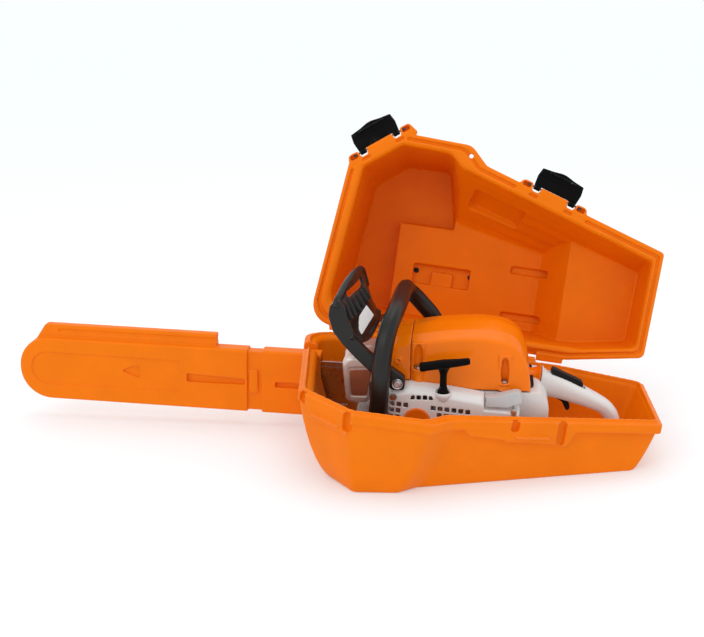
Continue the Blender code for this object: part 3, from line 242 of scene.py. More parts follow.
# ---- building blocks ----------------------------------------------------------------
def loft(rings):
    """Points and faces of a closed skin through rings of equal count, capped at both ends."""
    count = len(rings[0])
    points = [p for ring in rings for p in ring]
    faces = [list(range(count)), [len(points) - 1 - i for i in range(count)]]
    for k in range(len(rings) - 1):
        low, high = k * count, (k + 1) * count
        for i in range(count):
            j = (i + 1) % count
            faces += [[low + i, low + j, high + j], [low + i, high + j, high + i]]
    return points, faces


def hoop(rings):
    """Points and faces of a closed skin through rings that come back to the first one."""
    count = len(rings[0])
    points = [p for ring in rings for p in ring]
    faces = []
    for k in range(len(rings)):
        low, high = k * count, (k + 1) % len(rings) * count
        for i in range(count):
            j = (i + 1) % count
            faces.append([low + i, low + j, high + j, high + i])
    return points, faces


def inset(corners, distances):
    """The polygon with each edge moved in by its own distance. Edge i starts at corner i."""
    flat = [Vector(c) for c, _ in corners]
    area = sum(flat[i - 1].cross(flat[i]) for i in range(len(flat)))
    side = 1.0 if area > 0 else -1.0
    lines = []
    for i, start in enumerate(flat):
        along = (flat[(i + 1) % len(flat)] - start).normalized()
        lines.append((start + Vector((-along.y, along.x)) * side * distances[i], along))
    shifted = []
    for i, (_, radius) in enumerate(corners):
        (p, u), (q, v) = lines[i - 1], lines[i]
        shifted.append((tuple(p + u * ((q - p).cross(v) / u.cross(v))), radius))
    return shifted


def rounded(corners, steps=CORNER_STEPS):
    """The outline with each corner replaced by an arc of steps + 1 points."""
    flat = [Vector(c) for c, _ in corners]
    outline = []
    for i, corner in enumerate(flat):
        before = (flat[i - 1] - corner).normalized()
        after = (flat[(i + 1) % len(flat)] - corner).normalized()
        half = before.angle(after) / 2
        radius = corners[i][1]
        centre = corner + (before + after).normalized() * (radius / math.sin(half))
        first = corner + before * (radius / math.tan(half)) - centre
        last = corner + after * (radius / math.tan(half)) - centre
        turn = first.angle_signed(last)
        for k in range(steps + 1):
            arm = first.copy()
            arm.rotate(Matrix.Rotation(-turn * k / steps, 2))
            outline.append(tuple(centre + arm))
    return outline


def prism(outline, low, high, axis="y"):
    """An outline in x and z (or y and z, or x and y) pulled between two planes."""
    if axis == "y":
        return loft([[(a, side, b) for a, b in outline] for side in (low, high)])
    if axis == "x":
        return loft([[(side, a, b) for a, b in outline] for side in (low, high)])
    return loft([[(a, b, side) for a, b in outline] for side in (low, high)])


def block(low, high):
    """A box between two corners, for cutting and for blending into larger shapes."""
    (x0, y0, z0), (x1, y1, z1) = low, high
    return prism([(x0, z0), (x1, z0), (x1, z1), (x0, z1)], y0, y1)


def turned(profile, centre, direction, segments=32):
    """A (radius, distance) profile turned about an axis."""
    axis = Vector(direction).normalized()
    side = axis.orthogonal().normalized()
    other = axis.cross(side)
    rings = []
    for radius, along in profile:
        ring = []
        for i in range(segments):
            angle = math.tau * (i + 0.5) / segments
            arm = side * math.cos(angle) + other * math.sin(angle)
            ring.append(Vector(centre) + axis * along + arm * radius)
        rings.append(ring)
    return loft(rings)


def rod(radius, start, end, segments=24):
    start, end = Vector(start), Vector(end)
    return turned([(radius, 0.0), (radius, (end - start).length)], start, end - start, segments)


def tube(route, radii, segments=24, ridges=0.0, ridge_count=8):
    """A round bar along a route, with a radius for each point and shallow ridges along it."""
    route = [Vector(p) for p in route]
    rings = []
    side = None
    for i, point in enumerate(route):
        ahead = route[min(i + 1, len(route) - 1)]
        behind = route[max(i - 1, 0)]
        along = (ahead - behind).normalized()
        if side is None:
            side = along.orthogonal().normalized()
        side = (side - along * side.dot(along)).normalized()
        other = along.cross(side)
        ring = []
        for k in range(segments):
            angle = math.tau * k / segments
            reach = radii[i] * (1 - ridges * (0.5 - 0.5 * math.cos(ridge_count * angle)))
            ring.append(point + (side * math.cos(angle) + other * math.sin(angle)) * reach)
        rings.append(ring)
    return loft(rings)


def curve_through(route, per_span=4):
    """Points of a Catmull-Rom curve through a route of tuples of any length."""
    ends = [
        tuple(2 * a - b for a, b in zip(route[0], route[1])),
        *route,
        tuple(2 * a - b for a, b in zip(route[-1], route[-2])),
    ]
    found = []
    for i in range(1, len(ends) - 2):
        for k in range(per_span):
            t = k / per_span
            point = []
            for a, b, c, d in zip(*ends[i - 1 : i + 3]):
                pull = (2 * a - 5 * b + 4 * c - d) * t * t + (3 * b - a - 3 * c + d) * t**3
                point.append(0.5 * (2 * b + (c - a) * t + pull))
            found.append(tuple(point))
    found.append(tuple(route[-1]))
    return found


def oval(centre, across, along_y, half, half_y, power=2.6, segments=32):
    """A soft-cornered ring around a centre, in the plane of the across and y directions."""
    ring = []
    for k in range(segments):
        angle = math.tau * k / segments
        u, v = math.cos(angle), math.sin(angle)
        u = math.copysign(abs(u) ** (2 / power), u)
        v = math.copysign(abs(v) ** (2 / power), v)
        ring.append(Vector(centre) + Vector(across) * half * u + Vector(along_y) * half_y * v)
    return ring


def moved(shape, matrix):
    points, faces = shape
    return [matrix @ Vector(p) for p in points], faces


def merged(shapes):
    """Several shapes as one list of points and faces."""
    points, faces = [], []
    for more_points, more_faces in shapes:
        start = len(points)
        points += [tuple(p) for p in more_points]
        faces += [[start + i for i in face] for face in more_faces]
    return points, faces


def mesh_object(name, shape, place=None):
    """A mesh object with its faces pointing out, its shape given in the frame of place."""
    points, faces = moved(shape, place) if place else shape
    mesh = bpy.data.meshes.new(name)
    mesh.from_pydata([tuple(p) for p in points], [], faces)
    edited = bmesh.new()
    edited.from_mesh(mesh)
    bmesh.ops.remove_doubles(edited, verts=edited.verts, dist=1e-6)
    bmesh.ops.recalc_face_normals(edited, faces=edited.faces)
    edited.to_mesh(mesh)
    edited.free()
    made = bpy.data.objects.new(name, mesh)
    bpy.context.scene.collection.objects.link(made)
    return made


def bake(piece):
    """Keeps what the piece's modifiers make as its mesh."""
    bpy.context.view_layer.update()
    graph = bpy.context.evaluated_depsgraph_get()
    mesh = bpy.data.meshes.new_from_object(piece.evaluated_get(graph))
    piece.modifiers.clear()
    old = piece.data
    piece.data = mesh
    bpy.data.meshes.remove(old)
    mesh.name = piece.name
    return piece


def cleaned(piece):
    """Drops the slivers and doubled points that a Boolean leaves, which would spoil the next one."""
    tidied = bmesh.new()
    tidied.from_mesh(piece.data)
    bmesh.ops.remove_doubles(tidied, verts=tidied.verts[:], dist=0.000002)
    bmesh.ops.dissolve_degenerate(tidied, edges=tidied.edges[:], dist=0.000002)
    tidied.to_mesh(piece.data)
    tidied.free()
    return piece


def combine(target, shapes, operation, place=None):
    """Joins shapes to the target, or cuts them from it, in one Boolean."""
    helper = mesh_object("helper", merged(shapes), place)
    modifier = target.modifiers.new("combine", "BOOLEAN")
    modifier.operation = operation
    modifier.solver = "EXACT"
    modifier.use_self = True
    modifier.object = helper
    bake(target)
    spare = helper.data
    bpy.data.objects.remove(helper)
    bpy.data.meshes.remove(spare)
    cleaned(target)
    return target


def add(target, shapes, place=None):
    """Adds closed shapes that reach into the target. Remeshing it later makes one skin of them."""
    helper = mesh_object("helper", merged(shapes), place)
    edited = bmesh.new()
    edited.from_mesh(target.data)
    edited.from_mesh(helper.data)
    edited.to_mesh(target.data)
    edited.free()
    spare = helper.data
    bpy.data.objects.remove(helper)
    bpy.data.meshes.remove(spare)
    return target


def cut(target, shapes, place=None):
    return combine(target, shapes, "DIFFERENCE", place)


def join(target, shapes, place=None):
    return combine(target, shapes, "UNION", place)


def carved(shapes, tools, place=None):
    """Closed shapes with tools cut from them, as points and faces in the world."""
    piece = cut(mesh_object("carved", merged(shapes), place), tools, place)
    mesh = piece.data
    found = ([piece.matrix_world @ v.co for v in mesh.vertices], [list(p.vertices) for p in mesh.polygons])
    bpy.data.objects.remove(piece)
    bpy.data.meshes.remove(mesh)
    return found


def soften(piece, voxel, passes, keep):
    """Rounds every edge: an even fine mesh, smoothed, then thinned to a share of its faces."""
    even = piece.modifiers.new("even", "REMESH")
    even.mode = "VOXEL"
    even.voxel_size = voxel * 1.0
    rounding = piece.modifiers.new("rounding", "SMOOTH")
    rounding.factor = 0.5
    rounding.iterations = passes
    thinning = piece.modifiers.new("thinning", "DECIMATE")
    thinning.ratio = keep
    return bake(piece)


def bevelled(piece, width, segments=2):
    """Live modifiers that round a piece's hard edges."""
    weld = piece.modifiers.new("weld", "WELD")
    weld.merge_threshold = 0.00001
    bevel = piece.modifiers.new("bevel", "BEVEL")
    bevel.width = width
    bevel.segments = segments
    bevel.limit_method = "ANGLE"
    bevel.angle_limit = math.radians(32.0)
    bevel.harden_normals = True
    return piece


def settle(piece, body, finish, replaced, smooth_angle=None):
    """Gives a finished piece its material, its body and the CAD nodes it stands for."""
    piece.data.materials.clear()
    piece.data.materials.append(FINISHES[finish])
    piece.data.shade_smooth()
    if smooth_angle:
        piece.data.set_sharp_from_angle(angle=math.radians(smooth_angle))
    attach(piece, body)
    if replaced:
        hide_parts(*replaced)
    return piece


# ---- carrying case ------------------------------------------------------------------
def edge_frame(first, second, share):
    """Matrix on one rim edge: x along the edge, y outwards, z up from the parting plane."""
    start, end = Vector(first).to_3d(), Vector(second).to_3d()
    along = (end - start).normalized()
    outward = along.cross(UP)
    if outward.y > 0:
        along, outward = -along, -outward
    basis = Matrix((-along, outward, UP)).transposed().to_4x4()
    return Matrix.Translation(start.lerp(end, share)) @ basis


LATCH_FRAMES = {
    "left": edge_frame(RIM_CORNERS[1][0], RIM_CORNERS[2][0], 0.5) @ Matrix.Translation((-0.009, 0, 0)),
    "right": edge_frame(RIM_CORNERS[4][0], RIM_CORNERS[5][0], 0.38) @ Matrix.Translation((0.0015, 0, 0)),
}
# the middle of the pocket pressed into the lid's front wall, its y axis out of the wall
POCKET = Matrix.Translation((0.24, -0.227, 0.08)) @ Matrix.Rotation(math.radians(18.5), 4, "Z")
POCKET = POCKET @ Matrix.Rotation(math.radians(-27.0), 4, "X")


def flare(share, straight):
    """How far a wall has turned in at a share of its depth, both from 0 to 1."""
    return straight * share + (1 - straight) * (1 - math.sqrt(max(0.0, 1 - share * share)))


def wall_rings(top, foot, straights, shares, bottom):
    """Rings down a wall from the rim to the foot, whose height is bottom."""
    rings = []
    for share in shares:
        ring = []
        for i, (high, low) in enumerate(zip(top, foot)):
            turn = flare(share, straights[i])
            x = high[0] + (low[0] - high[0]) * turn
            y = high[1] + (low[1] - high[1]) * turn
            ring.append((x, y, high[2] + (bottom - high[2]) * share))
        rings.append(ring)
    return rings


def per_point(values):
    return [value for value in values for _ in range(CORNER_STEPS + 1)]


def flat_ring(corners, z):
    return [(x, y, z) for x, y in rounded(corners)]


def tilted_ring(corners, z):
    """A ring at a height over the parting plane of the base, in the floor frame."""
    to_floor = FLOOR.inverted() @ RIM
    return [tuple(to_floor @ Vector(p)) for p in flat_ring(corners, z)]


WALL_SHARES = [1.0, 0.99, 0.965, 0.92, 0.85, 0.74, 0.6, 0.44, 0.26, 0.1, 0.0]


def rim_hoop(profile):
    """A band that follows the rim, from (distance inside the rim, height) points across it."""
    rings = []
    for distance, height in profile:
        rings.append(flat_ring(inset(RIM_CORNERS, [distance + more for more in EAR_DETOUR]), height))
    return hoop(rings)


def knuckle(middle, half_width, above):
    """A hinge knuckle around the hinge axis, with its web towards the rim."""
    barrel = rod(0.0058, (middle - half_width, 0, 0), (middle + half_width, 0, 0), 24)
    low, high = (0.001, 0.0055) if above else (-0.0055, -0.001)
    reach = half_width - 0.0005
    return [barrel, block((middle - reach, -0.0125, low), (middle + reach, -0.001, high))]


def make_case_base():
    """The lower shell: a thick moulding with a rounded land, a tongue, and both catches."""
    body = inset(RIM_CORNERS, [0.003, 0.003, 0.003, 0.005, 0.009, 0.004, 0.003, 0.002])
    land = inset(RIM_CORNERS, [0.022, 0.019, 0.019, 0.02, 0.0165, 0.012, 0.012, 0.014])
    inner_foot = inset(FOOT_CORNERS, [0.006] * 8)
    straights = per_point([0.25, 0.25, 0.45, 0.6, 0.6, 0.75, 0.75, 0.6])
    outer = wall_rings(tilted_ring(body, -SKIRT), flat_ring(FOOT_CORNERS, 0.0), straights, WALL_SHARES, 0.0)
    crown = [
        tilted_ring(RIM_CORNERS, -SKIRT),
        tilted_ring(RIM_CORNERS, -0.0012),
        tilted_ring(inset(RIM_CORNERS, [0.0012] * 8), -GAP),
        *[tilted_ring(inset(land, [-drop] * 8), -GAP - fall) for drop, fall in ROUNDING],
    ]
    inside = wall_rings(
        tilted_ring(land, -0.0078), flat_ring(inner_foot, 0.0055), straights, WALL_SHARES[::-1], 0.0055
    )
    base = mesh_object("case_base_shell", loft(outer + crown + inside), FLOOR)
    rests = [
        block((0.085, -0.245, 0.003), (0.093, -0.06, 0.0101)),
        block((0.305, -0.205, 0.003), (0.313, -0.06, 0.0101)),
    ]
    join(base, rests, FLOOR)
    tongue = [(0.0062, -0.002), (0.0066, 0.0034), (0.0094, 0.0034), (0.0098, -0.002)]
    join(base, [rim_hoop(tongue)], RIM)
    for side, place in LATCH_FRAMES.items():
        panel = block((-0.037, -0.013, -0.031), (0.037, 0.0002, -0.006))
        lip = block((-0.024, -0.005, -0.0248), (0.024, 0.0042, -0.0205))
        join(base, [panel, lip], RIM @ place)
    # the raised band under the rim on the right front wall
    band = [(0.088, -0.024), (-0.052, -0.036), (-0.0685, -0.008), (0.104, -0.008)]
    join(base, [prism(band, -0.014, -0.001)], RIM @ LATCH_FRAMES["right"])
    knuckles = []
    for middle in HINGE_MIDDLES:
        for sign in (-1, 1):
            knuckles += knuckle(middle + sign * 0.021, 0.009, above=False)
    webs = [block((x0, -0.0119, -0.0061), (x1, -0.0008, -0.0008)) for x0, x1 in HINGE_WEBS]
    join(base, knuckles + webs, RIM)
    slot = block((-0.09, -0.0977, 0.014), (0.026, -0.0683, 0.16))
    cut(base, [slot], FLOOR)
    for middle in HINGE_MIDDLES:
        room = block((middle - 0.0117, -0.0145, -0.008), (middle + 0.0117, 0.01, 0.006))
        cut(base, [room, rod(0.0025, (middle - 0.04, 0, 0), (middle + 0.04, 0, 0), 20)], RIM)
    notches = {
        "left": [(0.043, 0.054, -0.017), (-0.04, -0.028, -0.026)],
        "right": [(0.02, 0.0315, -0.016), (-0.048, -0.0355, -0.035)],
    }
    for side, spans in notches.items():
        tools = []
        for low, high, depth in spans:
            shape = [
                ((low, -0.001), 0.0005), ((high, -0.001), 0.0005), ((high, depth), 0.004),
                ((low, depth), 0.004),
            ]
            tools.append(prism(rounded(shape, 4), -0.0085, 0.012))
        cut(base, tools, RIM @ LATCH_FRAMES[side])
    soften(base, 0.0013, 5, 0.11)
    return settle(base, "case_base", "case", ["case_base"])


def crown_steps(extra):
    """Cutters that lower the lid's crown over the engine and the rear handle."""
    middle, right = LID_MIDDLE - extra, LID_RIGHT - extra
    high = LID_DEPTH + 0.03
    shelf = [
        (0.092 - extra, 0.05),
        (0.092 - extra, -0.178 - extra),
        (0.183 - extra, -0.178 - extra),
        (0.183 - extra, -0.35),
        (0.56, -0.35),
        (0.56, 0.05),
    ]
    slope = [
        (0.3276 - extra, middle + 0.014),
        (0.372 - extra, right),
        (0.57, right),
        (0.57, high + 0.01),
        (0.3276 - extra, high + 0.01),
    ]
    return [prism(shelf, middle, high, "z"), prism(slope, -0.36, 0.06)]


def rounded_box(x0, x1, y0, y1, radius, low, high):
    """A box in the lid's frame with rounded upright edges."""
    corners = [((x0, y0), radius), ((x1, y0), radius), ((x1, y1), radius), ((x0, y1), radius)]
    return prism(rounded(corners, 4), low, high, "z")


def make_case_lid():
    """The upper shell: land with its groove, deep left bay, stepped floor, handle window."""
    body = inset(RIM_CORNERS, [0.003, 0.003, 0.003, 0.019, 0.009, 0.004, 0.003, 0.002])
    straights = per_point([0.6, 0.6, 0.75, 0.75, 0.48, 0.58, 0.75, 0.75])
    outer = wall_rings(
        flat_ring(body, SKIRT * 0.8), flat_ring(CROWN_CORNERS, LID_DEPTH), straights, WALL_SHARES, LID_DEPTH
    )
    crown = [
        flat_ring(RIM_CORNERS, SKIRT * 0.8),
        flat_ring(RIM_CORNERS, 0.0016),
        flat_ring(inset(RIM_CORNERS, [0.0012] * 8), GAP),
    ]
    lid = mesh_object("case_lid_shell", loft(outer + crown), LID)
    cut(lid, crown_steps(0.0), LID)
    pocket = [
        ((-0.044, -0.032), 0.008), ((0.044, -0.032), 0.008), ((0.044, 0.034), 0.008),
        ((-0.044, 0.034), 0.008),
    ]
    bulges = [
        moved(prism(rounded(inset(pocket, [-0.005] * 4), 4), -0.014, 0.0), POCKET),
        rounded_box(0.275, 0.353, -0.143, -0.1185, 0.006, LID_MIDDLE - 0.012, LID_MIDDLE + 0.0045),
        rounded_box(0.2685, 0.346, -0.065, -0.041, 0.006, LID_MIDDLE - 0.012, LID_MIDDLE + 0.0045),
        block((0.113, -0.132, LID_MIDDLE - 0.011), (0.226, -0.08, LID_MIDDLE + 0.0098)),
    ]
    join(lid, bulges, LID)
    mouth = inset(RIM_CORNERS, [0.024, 0.018, 0.019, 0.034, 0.021, 0.016, 0.016, 0.02])
    wall = 0.006
    inner_crown = inset(CROWN_CORNERS, [wall] * 8)
    rings = wall_rings(
        flat_ring(mouth, 0.0085), flat_ring(inner_crown, LID_DEPTH - wall), straights, WALL_SHARES[::-1],
        LID_DEPTH - wall,
    )
    lead_in = [flat_ring(inset(mouth, [-0.0075] * 8), -0.002)]
    lead_in += [flat_ring(inset(mouth, [-drop] * 8), GAP + fall) for drop, fall in ROUNDING]
    hollow = mesh_object("hollow", loft(lead_in + rings), LID)
    cut(hollow, crown_steps(wall), LID)
    cavity = ([v.co.copy() for v in hollow.data.vertices], [list(p.vertices) for p in hollow.data.polygons])
    bpy.data.objects.remove(hollow)
    cut(lid, [cavity])
    floor = LID_MIDDLE - wall
    tools = [
        rounded_box(0.1185, 0.2145, -0.12, -0.0865, 0.002, floor - 0.02, LID_MIDDLE + 0.0062),
        rounded_box(0.281, 0.347, -0.137, -0.1245, 0.004, floor - 0.02, floor + 0.007),
        rounded_box(0.2745, 0.34, -0.059, -0.047, 0.004, floor - 0.02, floor + 0.007),
        rod(0.0036, (0.187, -0.3, -0.01), (0.187, -0.3, 0.03), 20),
        rod(0.0013, (0.1322, -0.3116, -0.002), (0.1322, -0.3116, 0.003), 12),
        rod(0.0013, (0.4405, -0.0349, -0.002), (0.4405, -0.0349, 0.003), 12),
        moved(prism(rounded(pocket, 4), -0.009, 0.05), POCKET),
    ]
    for middle in HINGE_MIDDLES:
        for side in (-1, 1):
            centre = middle + side * 0.021
            tools.append(block((centre - 0.0095, -0.0145, -0.006), (centre + 0.0095, 0.01, 0.008)))
    cut(lid, tools, LID)
    groove = [(0.0057, -0.002), (0.0057, 0.0046), (0.0103, 0.0046), (0.0103, -0.002)]
    cut(lid, [rim_hoop(groove)], LID)
    shell_sockets, tabs = [], []
    tab = [
        ((0.0362, -0.012), 0.002), ((0.0362, 0.0085), 0.004), ((0.054, 0.0085), 0.007),
        ((0.06, -0.012), 0.002),
    ]
    for place in LATCH_FRAMES.values():
        for side in (-1, 1):
            turn = place @ Matrix.Scale(side, 4, (1, 0, 0))
            sockets = [
                moved(block((0.0392, -0.001, -0.002), (0.052, 0.0058, 0.01)), turn),
                moved(block((0.0235, -0.003, -0.001), (0.0352, 0.012, 0.014)), turn),
                moved(rod(0.0018, (0.03, 0.004, 0.006), (0.0455, 0.004, 0.006), 12), turn),
            ]
            tabs.append(carved([moved(prism(rounded(tab, 4), GAP + 0.0003, 0.013, "z"), turn)], sockets))
            shell_sockets += sockets
        tabs.append(moved(block((-0.0225, -0.012, GAP + 0.0003), (0.0225, 0.0068, 0.0112)), place))
    cut(lid, shell_sockets, LID)
    # pressed panels on the outside of the crown
    outside = [
        rounded_box(0.39, 0.456, -0.115, -0.056, 0.008, LID_RIGHT - 0.0014, LID_RIGHT + 0.01),
    ]
    cut(lid, outside, LID)
    knuckles = []
    for middle in HINGE_MIDDLES:
        bore = rod(0.0025, (middle - 0.04, 0, 0), (middle + 0.04, 0, 0), 20)
        knuckles += [carved([shape], [bore]) for shape in knuckle(middle, 0.0112, above=True)]
    webs = [block((x0, -0.0119, 0.0008), (x1, -0.0008, 0.0061)) for x0, x1 in HINGE_WEBS]
    raised = [
        rounded_box(0.15, 0.186, -0.109, -0.086, 0.003, floor + 0.0045, LID_MIDDLE + 0.0075),
        turned([(0.009, 0.0), (0.0086, 0.001)], (0.4674, -0.1226, LID_RIGHT - wall + 0.0002), (0, 0, -1)),
    ]
    add(lid, tabs + knuckles + webs + raised, LID)
    soften(lid, 0.0013, 6, 0.1)
    return settle(lid, "lid", "case", ["case_lid"])


def make_latch(side):
    """One latch: pivot barrels, a plate with a crease across it, and a curved lip."""
    place = LID @ LATCH_FRAMES[side]
    plan = [
        ((-0.0345, 0.0003), 0.0008),
        ((-0.0368, 0.0225), 0.001),
        ((-0.0345, 0.0355), 0.001),
        ((-0.018, 0.0375), 0.02),
        ((0.0, 0.0412), 0.03),
        ((0.018, 0.0375), 0.02),
        ((0.0345, 0.0355), 0.001),
        ((0.0368, 0.0225), 0.001),
        ((0.0345, 0.0003), 0.0008),
        ((0.024, 0.0003), 0.0008),
        ((0.0232, 0.0075), 0.001),
        ((-0.0232, 0.0075), 0.001),
        ((-0.024, 0.0003), 0.0008),
    ]
    latch = mesh_object("latch_" + side + "_shell", prism(rounded(plan, 4), 0.0083, 0.0122, "z"), place)
    lip = [
        (0.0215, 0.0118), (0.025, 0.014), (0.033, 0.0146), (0.0352, 0.0132), (0.0352, 0.0095),
        (0.025, 0.0095),
    ]
    extras = [prism(lip, -0.033, 0.033, "x")]
    for sign in (-1, 1):
        ends = sorted((sign * 0.0245, sign * 0.034))
        extras.append(rod(0.0036, (ends[0], 0.004, 0.006), (ends[1], 0.004, 0.006), 20))
        extras.append(block((ends[0] + 0.0003, 0.0012, 0.006), (ends[1] - 0.0003, 0.0068, 0.01)))
        extras.append(block((sign * 0.029 - 0.0014, 0.006, 0.012), (sign * 0.029 + 0.0014, 0.022, 0.0134)))
    hook = [(0.0325, 0.01), (0.0352, 0.01), (0.0352, 0.0035), (0.0325, 0.0035)]
    extras.append(prism(hook, -0.022, 0.022, "x"))
    join(latch, extras, place)
    crease = [
        prism([(0.0235, 0.0076), (0.0246, 0.0076), (0.0246, 0.009), (0.0235, 0.009)], -0.038, 0.038, "x"),
        rod(0.0018, (-0.04, 0.004, 0.006), (0.04, 0.004, 0.006), 12),
    ]
    cut(latch, crease, place)
    soften(latch, 0.0004, 2, 0.12)
    return settle(latch, "latch_" + side, "black", ["latch_" + side])


def make_latch_pins():
    """The pin that each latch turns on, its ends showing in the sockets of the lid."""
    for side, place in LATCH_FRAMES.items():
        ends = [(0.0011, 0.0), (0.0015, 0.0006), (0.0015, 0.0904), (0.0011, 0.091)]
        pin = mesh_object(
            "latch_pin_shell_" + side, turned(ends, (-0.0455, 0.004, 0.006), (1, 0, 0), 20), LID @ place,
        )
        settle(pin, "lid", "dark_steel", ["latch_pin_" + side], 40.0)


def make_carry_handle():
    """The bow handle on the lid's crown, oval in section, with a foot at each end."""
    foot = LID_MIDDLE + 0.0103
    stops = [
        (0.1165, foot + 0.0006, 0.0115, 0.012),
        (0.118, foot + 0.014, 0.0095, 0.0115),
        (0.126, foot + 0.0265, 0.0085, 0.011),
        (0.145, foot + 0.0325, 0.008, 0.0115),
        (0.1695, foot + 0.0345, 0.008, 0.0125),
        (0.194, foot + 0.0325, 0.008, 0.0115),
        (0.213, foot + 0.0265, 0.0085, 0.011),
        (0.221, foot + 0.014, 0.0095, 0.0115),
        (0.2225, foot + 0.0006, 0.0115, 0.012),
    ]
    stops = curve_through(stops, 4)
    rings = []
    for i, (x, z, half, half_y) in enumerate(stops):
        ahead, behind = stops[min(i + 1, len(stops) - 1)], stops[max(i - 1, 0)]
        along = Vector((ahead[0] - behind[0], 0, ahead[1] - behind[1])).normalized()
        across = Vector((along.z, 0, -along.x))
        if i in (0, len(stops) - 1):
            across = Vector((1, 0, 0)) if across.x > 0 else Vector((-1, 0, 0))
        rings.append(oval((x, -0.108, z), across, (0, 1, 0), half, half_y))
    handle = mesh_object("carry_handle_bow", loft(rings), LID)
    ribs = []
    for k in range(9):
        x = 0.1415 + 0.007 * k
        ribs.append(block((x - 0.0009, -0.13, foot + 0.01), (x + 0.0009, -0.086, foot + 0.0262)))
    cut(handle, ribs, LID)
    soften(handle, 0.0007, 3, 0.3)
    return settle(handle, "lid", "black", ["carry_handle"])


# ---- bar scabbard -------------------------------------------------------------------
def make_scabbard():
    """The bar cover, with its recessed panel, slots, neck groove and the strip on top."""
    left, right = -0.469 - CRANK.x, 0.004 - CRANK.x
    half, thick = 0.05, 0.0135
    place = BAR @ Matrix.Translation((0, 0, 0.0015))

    def shape(margin, reach):
        corners = [
            ((left + margin, -half + margin), (half - margin) * 0.97),
            ((left + margin, half - margin), (half - margin) * 0.97),
            ((right + reach, half - margin), 0.002),
            ((right + reach, -half + margin), 0.002),
        ]
        return rounded(corners, 14)

    faces = [(-thick, 0.0035), (-thick + 0.0012, 0.0012), (-thick + 0.0035, 0.0), (thick - 0.0035, 0.0)]
    faces += [(thick - 0.0012, 0.0012), (thick, 0.0035)]
    rings = [[(x, y, z) for x, z in shape(margin, 0.0)] for y, margin in faces]
    shell = mesh_object("scabbard_shell", loft(rings), place)
    strip = [
        ((left + 0.014, half - 0.024), 0.002),
        ((left + 0.043, half + 0.0205), 0.005),
        ((left + 0.3125, half + 0.0205), 0.002),
        ((left + 0.3125, half - 0.006), 0.002),
    ]
    join(shell, [prism(rounded(strip, 4), -0.0065, 0.0065)], place)
    panel = [
        ((left + 0.019, 0.0275), 0.0265),
        ((left + 0.019, -0.0265), 0.0265),
        ((left + 0.257, -0.0245), 0.004),
        ((left + 0.257, 0.026), 0.004),
    ]
    arrow = [
        ((left + 0.162, 0.003), 0.002),
        ((left + 0.18, 0.012), 0.01),
        ((left + 0.192, 0.013), 0.002),
        ((left + 0.192, -0.007), 0.002),
    ]
    first_slot = [
        ((left + 0.2665, 0.0065), 0.001),
        ((left + 0.2665, -0.007), 0.001),
        ((left + 0.357, -0.006), 0.001),
        ((left + 0.357, 0.0035), 0.001),
    ]
    second_slot = [
        (left + 0.404, -0.007), (left + 0.404, 0.0015), (left + 0.5, 0.0015), (left + 0.5, -0.007),
    ]
    channel = [
        ((left + 0.062, half + 0.008), 0.002),
        ((left + 0.064, half + 0.014), 0.002),
        ((left + 0.32, half + 0.014), 0.001),
        ((left + 0.32, half + 0.008), 0.001),
    ]
    tools = []
    for side in (-1, 1):
        outer = side * (thick + 0.002)
        for outline, depth in (
            (rounded(panel, 8), 0.0022), (rounded(first_slot, 3), 0.0058), (second_slot, 0.0058),
        ):
            ends = sorted((outer, side * (thick - depth)))
            tools.append(prism(outline, *ends))
        ends = sorted((outer, side * (thick - 0.0055)))
        tools.append(prism(rounded(arrow, 3), *ends))
        ends = sorted((side * 0.0046, side * 0.01))
        tools.append(prism(rounded(channel, 3), *ends))
    cut(shell, tools, place)
    groove_low, groove_high = left + 0.3605, left + 0.383
    neck = []
    ring_out = [(-0.02, -0.06), (0.02, -0.06), (0.02, 0.06), (-0.02, 0.06)]
    ring_in = [(-thick + 0.004, -half + 0.003), (thick - 0.004, -half + 0.003)]
    ring_in += [(thick - 0.004, half - 0.003), (-thick + 0.004, half - 0.003)]
    for x, outline in (
        (groove_low, ring_out), (groove_high, ring_out), (groove_high, ring_in), (groove_low, ring_in),
    ):
        neck.append([(x, y, z) for y, z in outline])
    cut(shell, [hoop(neck)], place)
    tabs = []
    for side in (-1, 1):
        ends = sorted((side * (thick - 0.006), side * (thick - 0.0004)))
        outline = [
            ((groove_low + 0.003, -0.0185), 0.003),
            ((groove_low + 0.003, 0.0185), 0.003),
            ((groove_high - 0.006, 0.0185), 0.003),
            ((groove_high - 0.006, -0.0185), 0.003),
        ]
        tabs.append(prism(rounded(outline, 4), *ends))
    join(shell, tabs, place)
    room = prism(shape(0.008, 0.05), -thick + 0.0068, thick - 0.0068)
    cut(shell, [room], place)
    soften(shell, 0.001, 2, 0.14)
    return settle(shell, "scabbard", "case", ["bar_scabbard"])


# ---- air filter hood and cylinder shroud --------------------------------------------
def hood_section(x, top, crease, margin, low):
    """Ring across the hood: near wall, crease, crown and far wall, moved in by a margin."""
    near, far = -0.213 + margin, -0.0895 - margin
    corners = [
        ((near, low), 0.001),
        ((near + 0.009, crease - margin), 0.0075),
        ((near + 0.027, top - 0.0045 - margin), 0.02),
        ((-0.148, top + 0.0005 - margin), 0.06),
        ((far - 0.012, top - 0.006 - margin), 0.014),
        ((far, low), 0.001),
    ]
    return [(x, y, z) for y, z in rounded(corners, 5)]


